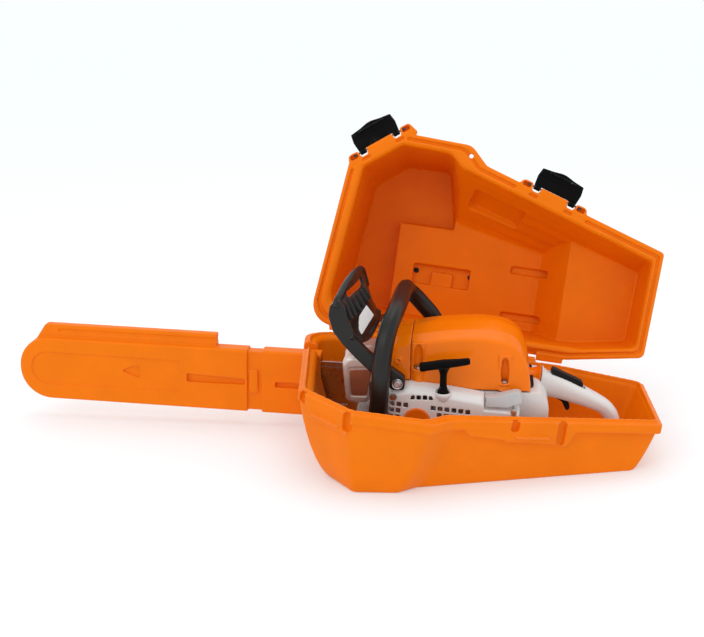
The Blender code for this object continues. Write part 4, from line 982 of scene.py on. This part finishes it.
def hood_body(name, profile, low, wall, ends):
    """A shell open below, through a profile of sections, with walls of even thickness."""
    sections = curve_through(profile, 4)
    outer = [hood_section(x, top, crease, 0.0, low) for x, top, crease in sections]
    shell = mesh_object(name, loft(outer), FLOOR)
    first, last = ends
    room = [hood_section(first, *sections[0][1:], wall, low - 0.01)]
    room += [hood_section(x, t, c, wall, low - 0.01) for x, t, c in sections[1:-1] if first < x < last]
    final = next(s for s in reversed(sections) if s[0] <= last)
    room.append(hood_section(last, *final[1:], wall, low - 0.01))
    cut(shell, [loft(room)], FLOOR)
    return shell


def make_hood():
    """The filter hood, with two fastener channels, their bosses and the small vents."""
    hood = hood_body("filter_hood_shell", HOOD_PROFILE, 0.1185, 0.003, (0.13, 0.3095))
    low = 0.1185
    bosses, channels = [], []
    for name, place in FASTENERS.items():
        seat = place.z - 0.0043
        drop = seat - low
        top = 0.179 if name == "front" else 0.166
        depth = top - seat
        profile = [
            (0.0112, 0.0), (0.0088, drop * 0.45), (0.008, drop * 0.75), (0.0098, drop),
            (0.0094, drop + 0.0012),
        ]
        bosses.append(turned(profile, (place.x, place.y, low), UP))
        bosses.append(
            block((place.x - 0.0085, -0.2096, seat - 0.004), (place.x + 0.0085, -0.196, top + 0.003))
        )
        profile = [
            (0.0066, 0.0), (0.0062, depth * 0.6), (0.0054, depth * 0.85), (0.003, depth),
            (0.0006, depth + 0.0012),
        ]
        channels.append(turned(profile, (place.x, place.y, seat), UP))
        channels.append(rod(0.0024, (place.x, place.y, 0.1), (place.x, place.y, seat + 0.002), 16))
    collar = []
    for x, half in (
        (0.306, 0.021), (0.315, 0.02), (0.321, 0.0215), (0.3265, 0.0255), (0.3272, 0.025),
        (0.322, 0.019), (0.306, 0.018),
    ):
        collar.append(oval((x, -0.135, 0.1045), (0.14, 0, 1), (0, 1, 0), half, half * 0.86))
    join(hood, [*bosses, loft(collar)], FLOOR)
    cut(hood, channels + [block((0.29, -0.18, 0.07), (0.34, -0.09, 0.112))], FLOOR)
    vents = []
    for k in range(5):
        z = 0.1215 + 0.005 * k
        vents.append(block((0.31, -0.19 + 0.0006 * k, z), (0.314, -0.186 + 0.0006 * k, z + 0.0026)))
    cut(hood, vents, FLOOR)
    soften(hood, 0.0009, 4, 0.18)
    return settle(hood, "filter_cover", "hood", ["filter_cover"])


def make_shroud():
    """The shroud over the cylinder, in line with the hood, with one small screw boss."""
    shroud = hood_body("cylinder_shroud_shell", SHROUD_PROFILE, 0.129, 0.0028, (0.1082, 0.16))
    cut(shroud, [block((0.09, -0.23, 0.11), (0.1082, -0.08, 0.16))], FLOOR)
    boss = turned([(0.005, 0.0), (0.0046, 0.004)], (0.131, -0.2085, 0.156), NEAR)
    join(shroud, [boss], FLOOR)
    cut(shroud, [rod(0.0026, (0.131, -0.22, 0.156), (0.131, -0.2105, 0.156), 16)], FLOOR)
    soften(shroud, 0.0009, 3, 0.3)
    return settle(shroud, "saw", "hood", ["cylinder_shroud"])


# ---- starter ------------------------------------------------------------------------
def make_starter_cover():
    """The starter housing: sloping shoulder, a row of vents, a grid of holes, a dished collar."""
    outline = [
        ((0.118, 0.018), 0.01),
        ((0.118, 0.124), 0.008),
        ((0.148, 0.13), 0.02),
        ((0.205, 0.124), 0.03),
        ((0.2505, 0.1172), 0.003),
        ((0.251, 0.101), 0.002),
        ((0.299, 0.099), 0.004),
        ((0.299, 0.08), 0.004),
        ((0.264, 0.074), 0.006),
        ((0.264, 0.018), 0.01),
    ]
    steps = [
        (-0.2135, 0.0), (-0.22, 0.0004), (-0.229, 0.002), (-0.2355, 0.005), (-0.239, 0.0085),
        (-0.24, 0.011),
    ]
    shares = [0.4, 1.0, 1.0, 1.0, 0.15, 0.3, 0.3, 0.3, 0.3, 0.4]
    rings = []
    for y, depth in steps:
        rings.append([(x, y, z) for x, z in rounded(inset(outline, [depth * s for s in shares]), 5)])
    cover = mesh_object("starter_cover_shell", loft(rings), FLOOR)
    rings = []
    for y, depth in [(-0.2, 0.0), *[(a + 0.003, b) for a, b in steps[1:]]]:
        rings.append([(x, y, z) for x, z in rounded(inset(outline, [depth * s + 0.003 for s in shares]), 5)])
    cut(cover, [loft(rings)], FLOOR)
    collar = [(0.005, 0.0), (0.0095, 0.006), (0.0118, 0.011), (0.012, 0.014), (0.011, 0.0152)]
    collar = turned(collar, GRIP + UP * 0.1065, UP)
    screws = ((0.126, 0.0262), (0.1262, 0.113), (0.2555, 0.0262), (0.29, 0.09))
    bosses = [rod(0.006, (x, -0.2385, z), (x, -0.214, z), 20) for x, z in screws]
    join(cover, [collar, *bosses], FLOOR)
    dish = turned([(0.0074, 0.0), (0.009, 0.003), (0.0104, 0.006)], GRIP + UP * 0.1175, UP)
    tools = [dish, rod(0.0032, GRIP + UP * 0.1, GRIP + UP * 0.14, 16)]
    for x, z in screws:
        tools.append(rod(0.0022, (x, -0.26, z), (x, -0.2, z), 16))
        tools.append(rod(0.005, (x, -0.26, z), (x, -0.2368, z), 20))
    for k in range(4):
        x = 0.1497 + 0.0085 * k
        arch = [
            ((x, 0.1108), 0.0006), ((x + 0.0062, 0.1108), 0.0006), ((x + 0.0062, 0.1172), 0.0012),
            ((x, 0.1172), 0.0012),
        ]
        if k == 0:
            arch[3] = ((x + 0.0012, 0.1166), 0.0024)
        if k == 3:
            arch[2] = ((x + 0.004, 0.116), 0.0024)
        tools.append(prism(rounded(arch, 3), -0.25, -0.225))
    for row in range(9):
        for column in range(12):
            x = 0.1215 + 0.0094 * column - 0.001 * row
            z = 0.101 - 0.0094 * row - 0.0008 * column
            away = math.hypot(x + 0.0033 - 0.159, z + 0.0033 - 0.08)
            if z < 0.029 or away < 0.0255 or (row > 6 and column > 9):
                continue
            shape = [
                ((x, z), 0.0008), ((x + 0.0066, z - 0.0004), 0.0008), ((x + 0.0066, z + 0.0064), 0.0008),
                ((x, z + 0.0068), 0.0008),
            ]
            tools.append(prism(rounded(shape, 2), -0.25, -0.23))
    cut(cover, tools, FLOOR)
    soften(cover, 0.0007, 2, 0.24)
    return settle(cover, "saw", "light_grey", ["starter_cover"])


def make_starter_badge():
    """A plain round cap in the middle of the starter cover."""
    profile = [(0.019, 0.0), (0.019, 0.0012), (0.0182, 0.002), (0.016, 0.0022), (0.015, 0.0017)]
    badge = mesh_object("starter_badge", turned(profile, (0.159, -0.2392, 0.08), NEAR, 64), FLOOR)
    return settle(badge, "saw", "hood", None, 30.0)


def make_starter_grip():
    """The T-shaped pull grip, thicker in its middle, flowing into a round stem."""
    lean = Matrix.Translation(GRIP + UP * 0.161) @ Matrix.Rotation(math.radians(-9.0), 4, "Y")
    stops = [
        (-0.033, -0.0002, 0.003),
        (-0.0322, -0.0002, 0.0056),
        (-0.03, 0.0, 0.0063),
        (-0.02, 0.0002, 0.0058),
        (-0.008, 0.0005, 0.006),
        (0.0, 0.0005, 0.0062),
        (0.008, 0.0005, 0.0056),
        (0.02, 0.0002, 0.005),
        (0.032, 0.0004, 0.0046),
        (0.0352, 0.0004, 0.004),
        (0.036, 0.0004, 0.0026),
    ]
    rings = [oval((x, 0.0002, z), (0, 0, 1), (0, 1, 0), half, min(half, 0.0057), 3.2) for x, z, half in stops]
    grip = mesh_object("starter_grip_shell", loft(rings), FLOOR @ lean)
    stem = [
        (0.0076, 0.119), (0.008, 0.1205), (0.0066, 0.124), (0.005, 0.13), (0.0046, 0.138),
        (0.0048, 0.147), (0.0066, 0.153), (0.01, 0.1585),
    ]
    join(grip, [turned(stem, GRIP, UP)], FLOOR)
    cut(grip, [rod(0.0019, GRIP + UP * 0.1, GRIP + UP * 0.142, 12)], FLOOR)
    soften(grip, 0.0005, 5, 0.3)
    return settle(grip, "starter_grip", "black", ["starter_grip"])


# ---- handles, guard, controls -------------------------------------------------------
def make_handlebar():
    """The front handlebar: a rubber-covered tube with shallow flats along it."""
    route = [
        (0.099, -0.2145, 0.031),
        (0.099, -0.233, 0.034),
        (0.101, -0.245, 0.06),
        (0.108, -0.255, 0.107),
        (0.113, -0.252, 0.175),
        (0.119, -0.235, 0.209),
        (0.1265, -0.198, 0.225),
        (0.1315, -0.105, 0.229),
        (0.1365, -0.08, 0.22),
        (0.152, -0.069, 0.201),
        (0.176, -0.068, 0.169),
        (0.186, -0.068, 0.1215),
    ]
    route = curve_through(route, 7)
    radii = [0.0125] * len(route)
    bar = mesh_object("front_handlebar_tube", tube(route, radii, 48, 0.05, 8), FLOOR)
    return settle(bar, "saw", "rubber", ["front_handlebar"])


def make_rear_handle():
    """The rear handle: a tapering grip that curves down into its foot, with a flange in front."""
    near, far = -0.152, -0.118
    middle = (near + far) / 2
    stops = [
        (0.331, 0.1235, 0.327, 0.086),
        (0.34, 0.1215, 0.337, 0.0848),
        (0.356, 0.1165, 0.352, 0.083),
        (0.379, 0.1065, 0.369, 0.0785),
        (0.405, 0.093, 0.395, 0.071),
        (0.427, 0.0795, 0.412, 0.065),
        (0.44, 0.065, 0.4215, 0.0556),
        (0.4455, 0.048, 0.4255, 0.046),
        (0.4455, 0.029, 0.4258, 0.032),
        (0.44, 0.013, 0.419, 0.0262),
        (0.42, 0.0106, 0.41, 0.0258),
        (0.38, 0.0106, 0.38, 0.0258),
        (0.34, 0.0106, 0.34, 0.0258),
    ]
    rings = []
    for x0, z0, x1, z1 in curve_through(stops, 4):
        centre = ((x0 + x1) / 2, middle, (z0 + z1) / 2)
        across = Vector((x1 - x0, 0, z1 - z0))
        rings.append(oval(centre, across.normalized(), (0, 1, 0), across.length / 2, (far - near) / 2, 2.5))
    handle = mesh_object("rear_handle_shell", loft(rings), FLOOR)
    flange = []
    for x, half in ((0.3278, 0.0215), (0.3284, 0.0236), (0.33, 0.0236), (0.3312, 0.0205), (0.335, 0.0188)):
        flange.append(oval((x, middle, 0.1045), (0.14, 0, 1), (0, 1, 0), half, half * 0.88))
    join(handle, [loft(flange), block((0.3396, -0.164, 0.011), (0.442, -0.106, 0.019))], FLOOR)
    groove = [(0.345, 0.11), (0.393, 0.0935), (0.393, 0.14), (0.345, 0.14)]
    tools = [
        block((0.348, middle - 0.006, 0.05), (0.385, middle + 0.006, 0.0955)),
        prism(groove, middle - 0.0065, middle + 0.0065),
    ]
    cut(handle, tools, FLOOR)
    soften(handle, 0.0009, 3, 0.3)
    return settle(handle, "saw", "light_grey", ["rear_handle"])


def make_hand_guard():
    """The hand guard: a curved, ribbed shield with a window, on two arms."""
    near_arm = [
        ((0.142, 0.1425), 0.007),
        ((0.142, 0.1235), 0.006),
        ((0.125, 0.1235), 0.006),
        ((0.0959, 0.1475), 0.02),
        ((0.074, 0.1685), 0.02),
        ((0.0575, 0.1865), 0.02),
        ((0.044, 0.2045), 0.015),
        ((0.038, 0.227), 0.01),
        ((0.0405, 0.241), 0.006),
        ((0.053, 0.25), 0.003),
        ((0.061, 0.238), 0.006),
        ((0.0665, 0.215), 0.015),
        ((0.0765, 0.193), 0.01),
        ((0.095, 0.175), 0.01),
    ]
    far_arm = [
        ((0.1, 0.179), 0.003),
        ((0.112, 0.174), 0.004),
        ((0.142, 0.1425), 0.007),
        ((0.142, 0.126), 0.006),
        ((0.127, 0.1235), 0.006),
        ((0.096, 0.172), 0.004),
    ]
    sections = [
        (-0.239, (0.05, 0.242), (0.054, 0.236), (0.06, 0.215), (0.07, 0.197)),
        (-0.234, (0.052, 0.25), (0.0565, 0.24), (0.064, 0.214), (0.077, 0.191)),
        (-0.225, (0.0545, 0.2545), (0.06, 0.244), (0.069, 0.214), (0.083, 0.187)),
        (-0.2, (0.059, 0.2625), (0.065, 0.25), (0.077, 0.218), (0.0905, 0.184)),
        (-0.17, (0.0645, 0.268), (0.07, 0.254), (0.0845, 0.222), (0.096, 0.19)),
        (-0.14, (0.07, 0.2685), (0.074, 0.254), (0.086, 0.222), (0.098, 0.192)),
        (-0.127, (0.0735, 0.265), (0.0765, 0.248), (0.085, 0.22), (0.097, 0.194)),
        (-0.12, (0.076, 0.252), (0.0785, 0.24), (0.085, 0.218), (0.096, 0.196)),
        (-0.112, (0.09, 0.196), (0.0915, 0.1935), (0.0935, 0.1905), (0.098, 0.183)),
        (-0.09, (0.095, 0.185), (0.0965, 0.1825), (0.0985, 0.1795), (0.102, 0.174)),
        (-0.064, (0.099, 0.179), (0.1005, 0.1765), (0.102, 0.174), (0.105, 0.169)),
    ]
    flat = [(y, *top, *upper, *lower, *foot) for y, top, upper, lower, foot in sections]
    rings, rail, foot_rail = [], [], []
    for y, x0, z0, x1, z1, x2, z2, x3, z3 in curve_through(flat, 4):
        front = [(x0, z0), (x1, z1), (x2, z2), (x3, z3)]
        back = [(x - 0.0042, z - 0.0016) for x, z in reversed(front)]
        rings.append([(x, y, z) for x, z in front + back])
        if y < -0.118:
            rail.append((x0 - 0.0022, y, z0 - 0.0034))
        if y < -0.115:
            foot_rail.append((x3 - 0.002, y, z3 + 0.0022))
    guard = mesh_object("hand_guard_shell", loft(rings), FLOOR)
    ribs = []
    for y, _, _, x1, z1, x2, z2, _, _ in curve_through(flat, 4)[8:20:2]:
        upper, lower = Vector((x1, z1 - 0.003)), Vector((x2, z2 + 0.005))
        proud = (upper - lower).orthogonal().normalized() * 0.0026
        proud = proud if proud.x > 0 else -proud
        rib = [upper + proud, lower + proud, lower - proud, upper - proud]
        ribs.append(prism([tuple(p) for p in rib], y - 0.0011, y + 0.0011))
    label = LABEL_CORNERS
    middle = sum(label, Vector()) / 4
    across = (label[1] - label[0]).cross(label[2] - label[1]).normalized()
    across = across if across.x > 0 else -across
    rim = [middle + (corner - middle) * 1.1 for corner in label]
    pad = loft([[p - across * 0.007 for p in rim], [p - across * 0.0008 for p in rim]])
    extras = [
        prism(rounded(near_arm, 5), -0.24, -0.228),
        prism(rounded(far_arm, 5), -0.07, -0.0615),
        tube(rail, [0.005] * len(rail), 16),
        tube(foot_rail, [0.0042] * len(foot_rail), 16),
        pad,
        *ribs,
    ]
    join(guard, extras, FLOOR)
    window = [
        ((-0.218, 0.244), 0.004), ((-0.146, 0.246), 0.004), ((-0.144, 0.257), 0.003),
        ((-0.212, 0.253), 0.003),
    ]
    bores = rod(0.0044, GUARD_PIVOT + NEAR * 0.26, GUARD_PIVOT, 20)
    cut(guard, [prism(rounded(window, 4), 0.02, 0.12, "x"), bores], FLOOR)
    soften(guard, 0.0009, 4, 0.3)
    return settle(guard, "hand_guard", "rubber", ["hand_guard"])


def make_label():
    """A blank plate with a soft rounded outline, where a printed label would be."""
    label = LABEL_CORNERS
    across = (label[1] - label[0]).cross(label[2] - label[1]).normalized()
    across = across if across.x > 0 else -across
    plate = mesh_object("guard_label_plate", loft([[p - across * 0.0008 for p in label], label]), FLOOR)
    bevelled(plate, 0.0002)
    return settle(plate, "hand_guard", "label", ["guard_label"], 30.0)


def make_control_lever():
    """The master lever: a broad blade that curls up at its free end."""
    top = curve_through(
        [
            (0.2522, 0.118), (0.264, 0.1186), (0.2775, 0.1225), (0.2917, 0.1262), (0.299, 0.1238),
            (0.3005, 0.1165), (0.3, 0.1105),
        ],
        4,
    )
    low = [(0.2955, 0.1085), (0.29, 0.1082), (0.2854, 0.105), (0.28, 0.1036), (0.2524, 0.1036)]
    lever = mesh_object("control_lever_shell", prism(top + low, -0.238, -0.2345), FLOOR)
    shelf = curve_through(
        [
            (0.2522, 0.118), (0.264, 0.1186), (0.2775, 0.1225), (0.2917, 0.1262), (0.299, 0.1238),
            (0.3005, 0.1165),
        ],
        4,
    )
    under = [(x - 0.0016, z - 0.0026) for x, z in reversed(shelf)]
    join(lever, [prism(shelf + under, -0.2362, -0.2232)], FLOOR)
    soften(lever, 0.0005, 3, 0.3)
    return settle(lever, "control_lever", "mid_grey", ["control_lever"])


# ---- muffler and pivots -------------------------------------------------------------
def make_muffler():
    """The muffler: a pressed shell with a seam, louvres on its left and a sunk front panel."""
    pot = [
        ((0.056, 0.0862), 0.008),
        ((0.05, 0.154), 0.012),
        ((0.099, 0.158), 0.012),
        ((0.106, 0.118), 0.004),
        ((0.09, 0.116), 0.003),
        ((0.09, 0.0862), 0.008),
    ]
    steps = [
        (-0.112, 0.004), (-0.1145, 0.001), (-0.118, 0.0), (-0.194, 0.0), (-0.1975, 0.001),
        (-0.2, 0.004),
    ]
    rings = [[(x, y, z) for x, z in rounded(inset(pot, [d] * 6), 5)] for y, d in steps]
    muffler = mesh_object("muffler_shell", loft(rings), FLOOR)
    seam = [[(x, y, z) for x, z in rounded(inset(pot, [-0.0012] * 6), 5)] for y in (-0.156, -0.153)]
    join(muffler, [loft(seam)], FLOOR)
    cut(muffler, [prism(rounded(inset(pot, [0.0024] * 6), 5), -0.1972, -0.1148)], FLOOR)
    panel = [
        ((0.062, 0.096), 0.004), ((0.059, 0.14), 0.004), ((0.095, 0.142), 0.004),
        ((0.086, 0.096), 0.004),
    ]
    tools = [prism(rounded(panel, 4), -0.205, -0.199)]
    for k in range(7):
        tools.append(block((0.03, -0.192 + 0.011 * k, 0.1), (0.0575, -0.186 + 0.011 * k, 0.138)))
    cut(muffler, tools, FLOOR)
    soften(muffler, 0.0008, 2, 0.2)
    return settle(muffler, "saw", "muffler_steel", ["muffler"])


def make_muffler_panel():
    """The heat-browned plate on the front of the muffler."""
    panel = [
        ((0.064, 0.099), 0.004), ((0.061, 0.136), 0.004), ((0.0935, 0.1375), 0.004),
        ((0.0855, 0.099), 0.004),
    ]
    plate = mesh_object("muffler_panel", prism(rounded(panel, 4), -0.2004, -0.1985), FLOOR)
    bevelled(plate, 0.0005)
    return settle(plate, "saw", "browned_steel", None, 30.0)


def make_guard_pivots():
    """The guard's two pivots: a dished washer and a socket-headed screw on each side."""
    made = []
    for name, start, direction, node in (
        ("guard_pivot_near", GUARD_PIVOT + NEAR * 0.215, NEAR, "guard_pivot_1"),
        ("guard_pivot_far", GUARD_PIVOT + NEAR * 0.0867, -NEAR, "guard_pivot_2"),
    ):
        profile = [
            (0.004, 0.0), (0.004, 0.0253), (0.0072, 0.0254), (0.0076, 0.0262), (0.007, 0.0272),
            (0.0058, 0.0268),
        ]
        profile += [(0.005, 0.0262), (0.0046, 0.0264), (0.0046, 0.0284), (0.004, 0.0292)]
        pivot = mesh_object(name, turned(profile, start, direction), FLOOR)
        socket = turned([(0.0024, 0.0), (0.0024, 0.006)], start + Vector(direction) * 0.027, direction, 6)
        cut(pivot, [socket], FLOOR)
        bevelled(pivot, 0.0002)
        made.append(settle(pivot, "saw", "steel", [node], 30.0))
    return made


def make_starter_rope():
    """The short length of rope between the grip and the pulley, with a braid's bumps."""
    low, high = GRIP + UP * 0.042, GRIP + UP * 0.1415
    count = 60
    route = [low.lerp(high, k / count) for k in range(count + 1)]
    radii = [0.0014 + 0.00012 * math.cos(math.pi * k) for k in range(count + 1)]
    rope = mesh_object("starter_rope_braid", tube(route, radii, 12), FLOOR)
    return settle(rope, "starter_grip", "rope", ["starter_rope"])


# ---- CAD nodes that keep their shape ------------------------------------------------
def finish_cad_nodes():
    """Every CAD node still shown gets its material and softly rounded edges."""
    slots = {part["node"]: part["material_slot"] for part in frame["record"]["subparts"]}
    for name, node in frame["nodes"].items():
        if node.hide_render:
            continue
        slot = slots[name]
        node.data.materials.clear()
        node.data.materials.append(FINISHES["hood" if slot == "orange" else slot])
        low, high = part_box(name)
        bevelled(node, min(0.0006, min(high - low) * 0.08))


# ---- floor, light, camera -----------------------------------------------------------
def make_floor():
    size = 30.0
    points = [(-size, -size, 0.0), (size, -size, 0.0), (size, size, 0.0), (-size, size, 0.0)]
    mesh = bpy.data.meshes.new("studio_floor")
    mesh.from_pydata(points, [], [(0, 1, 2, 3)])
    floor = bpy.data.objects.new("studio_floor", mesh)
    floor.location.z = -0.0004
    bpy.context.scene.collection.objects.link(floor)
    paper = bpy.data.materials.new("white_paper")
    paper.use_nodes = True
    shader = paper.node_tree.nodes["Principled BSDF"]
    shader.inputs["Base Color"].default_value = (0.7, 0.75, 0.77, 1.0)
    shader.inputs["Emission Color"].default_value = (1.0, 1.0, 1.0, 1.0)
    shader.inputs["Emission Strength"].default_value = 0.23
    shader.inputs["Roughness"].default_value = 0.9
    mesh.materials.append(paper)


def softbox(name, place, target, size, watts):
    light = bpy.data.lights.new(name, "AREA")
    light.shape = "SQUARE"
    light.size = size
    light.energy = watts
    lamp = bpy.data.objects.new(name, light)
    lamp.location = place
    aim = Vector(target) - Vector(place)
    lamp.rotation_euler = aim.to_track_quat("-Z", "Y").to_euler()
    bpy.context.scene.collection.objects.link(lamp)


def make_light():
    scene = bpy.context.scene
    world = bpy.data.worlds.new("studio")
    world.use_nodes = True
    background = world.node_tree.nodes["Background"]
    background.inputs["Color"].default_value = (1.0, 1.0, 1.0, 1.0)
    background.inputs["Strength"].default_value = 1.0
    scene.world = world
    middle = (0.0, 0.0, 0.15)
    softbox("key", (-1.3, -1.9, 1.9), middle, 1.4, 9.0)
    softbox("top", (0.3, 0.2, 2.2), middle, 1.6, 7.0)
    scene.view_settings.view_transform = "Standard"


def make_camera():
    """Eye level a little above the case, turned slightly to its left."""
    data = bpy.data.cameras.new("camera")
    data.sensor_width = 36.0
    data.lens = 56.25
    data.clip_end = 100.0
    camera = bpy.data.objects.new("camera", data)
    place = FLOOR @ Vector((0.2394, -1.6375, 0.6626))
    turn = Matrix.Rotation(math.radians(6.894), 4, "Z") @ Matrix.Rotation(math.radians(90 - 17.3), 4, "X")
    turn = turn @ Matrix.Rotation(math.radians(-0.27), 4, "Z")
    camera.matrix_world = Matrix.Translation(place) @ turn
    bpy.context.scene.collection.objects.link(camera)
    bpy.context.scene.camera = camera


def main():
    make_camera()
    make_floor()
    make_light()
    make_case_base()
    make_case_lid()
    make_carry_handle()
    for side in LATCH_FRAMES:
        make_latch(side)
    make_latch_pins()
    make_scabbard()
    make_hood()
    make_shroud()
    make_starter_cover()
    make_starter_badge()
    make_starter_grip()
    make_starter_rope()
    make_handlebar()
    make_rear_handle()
    make_hand_guard()
    make_label()
    make_guard_pivots()
    make_control_lever()
    make_muffler()
    make_muffler_panel()
    finish_cad_nodes()


main()
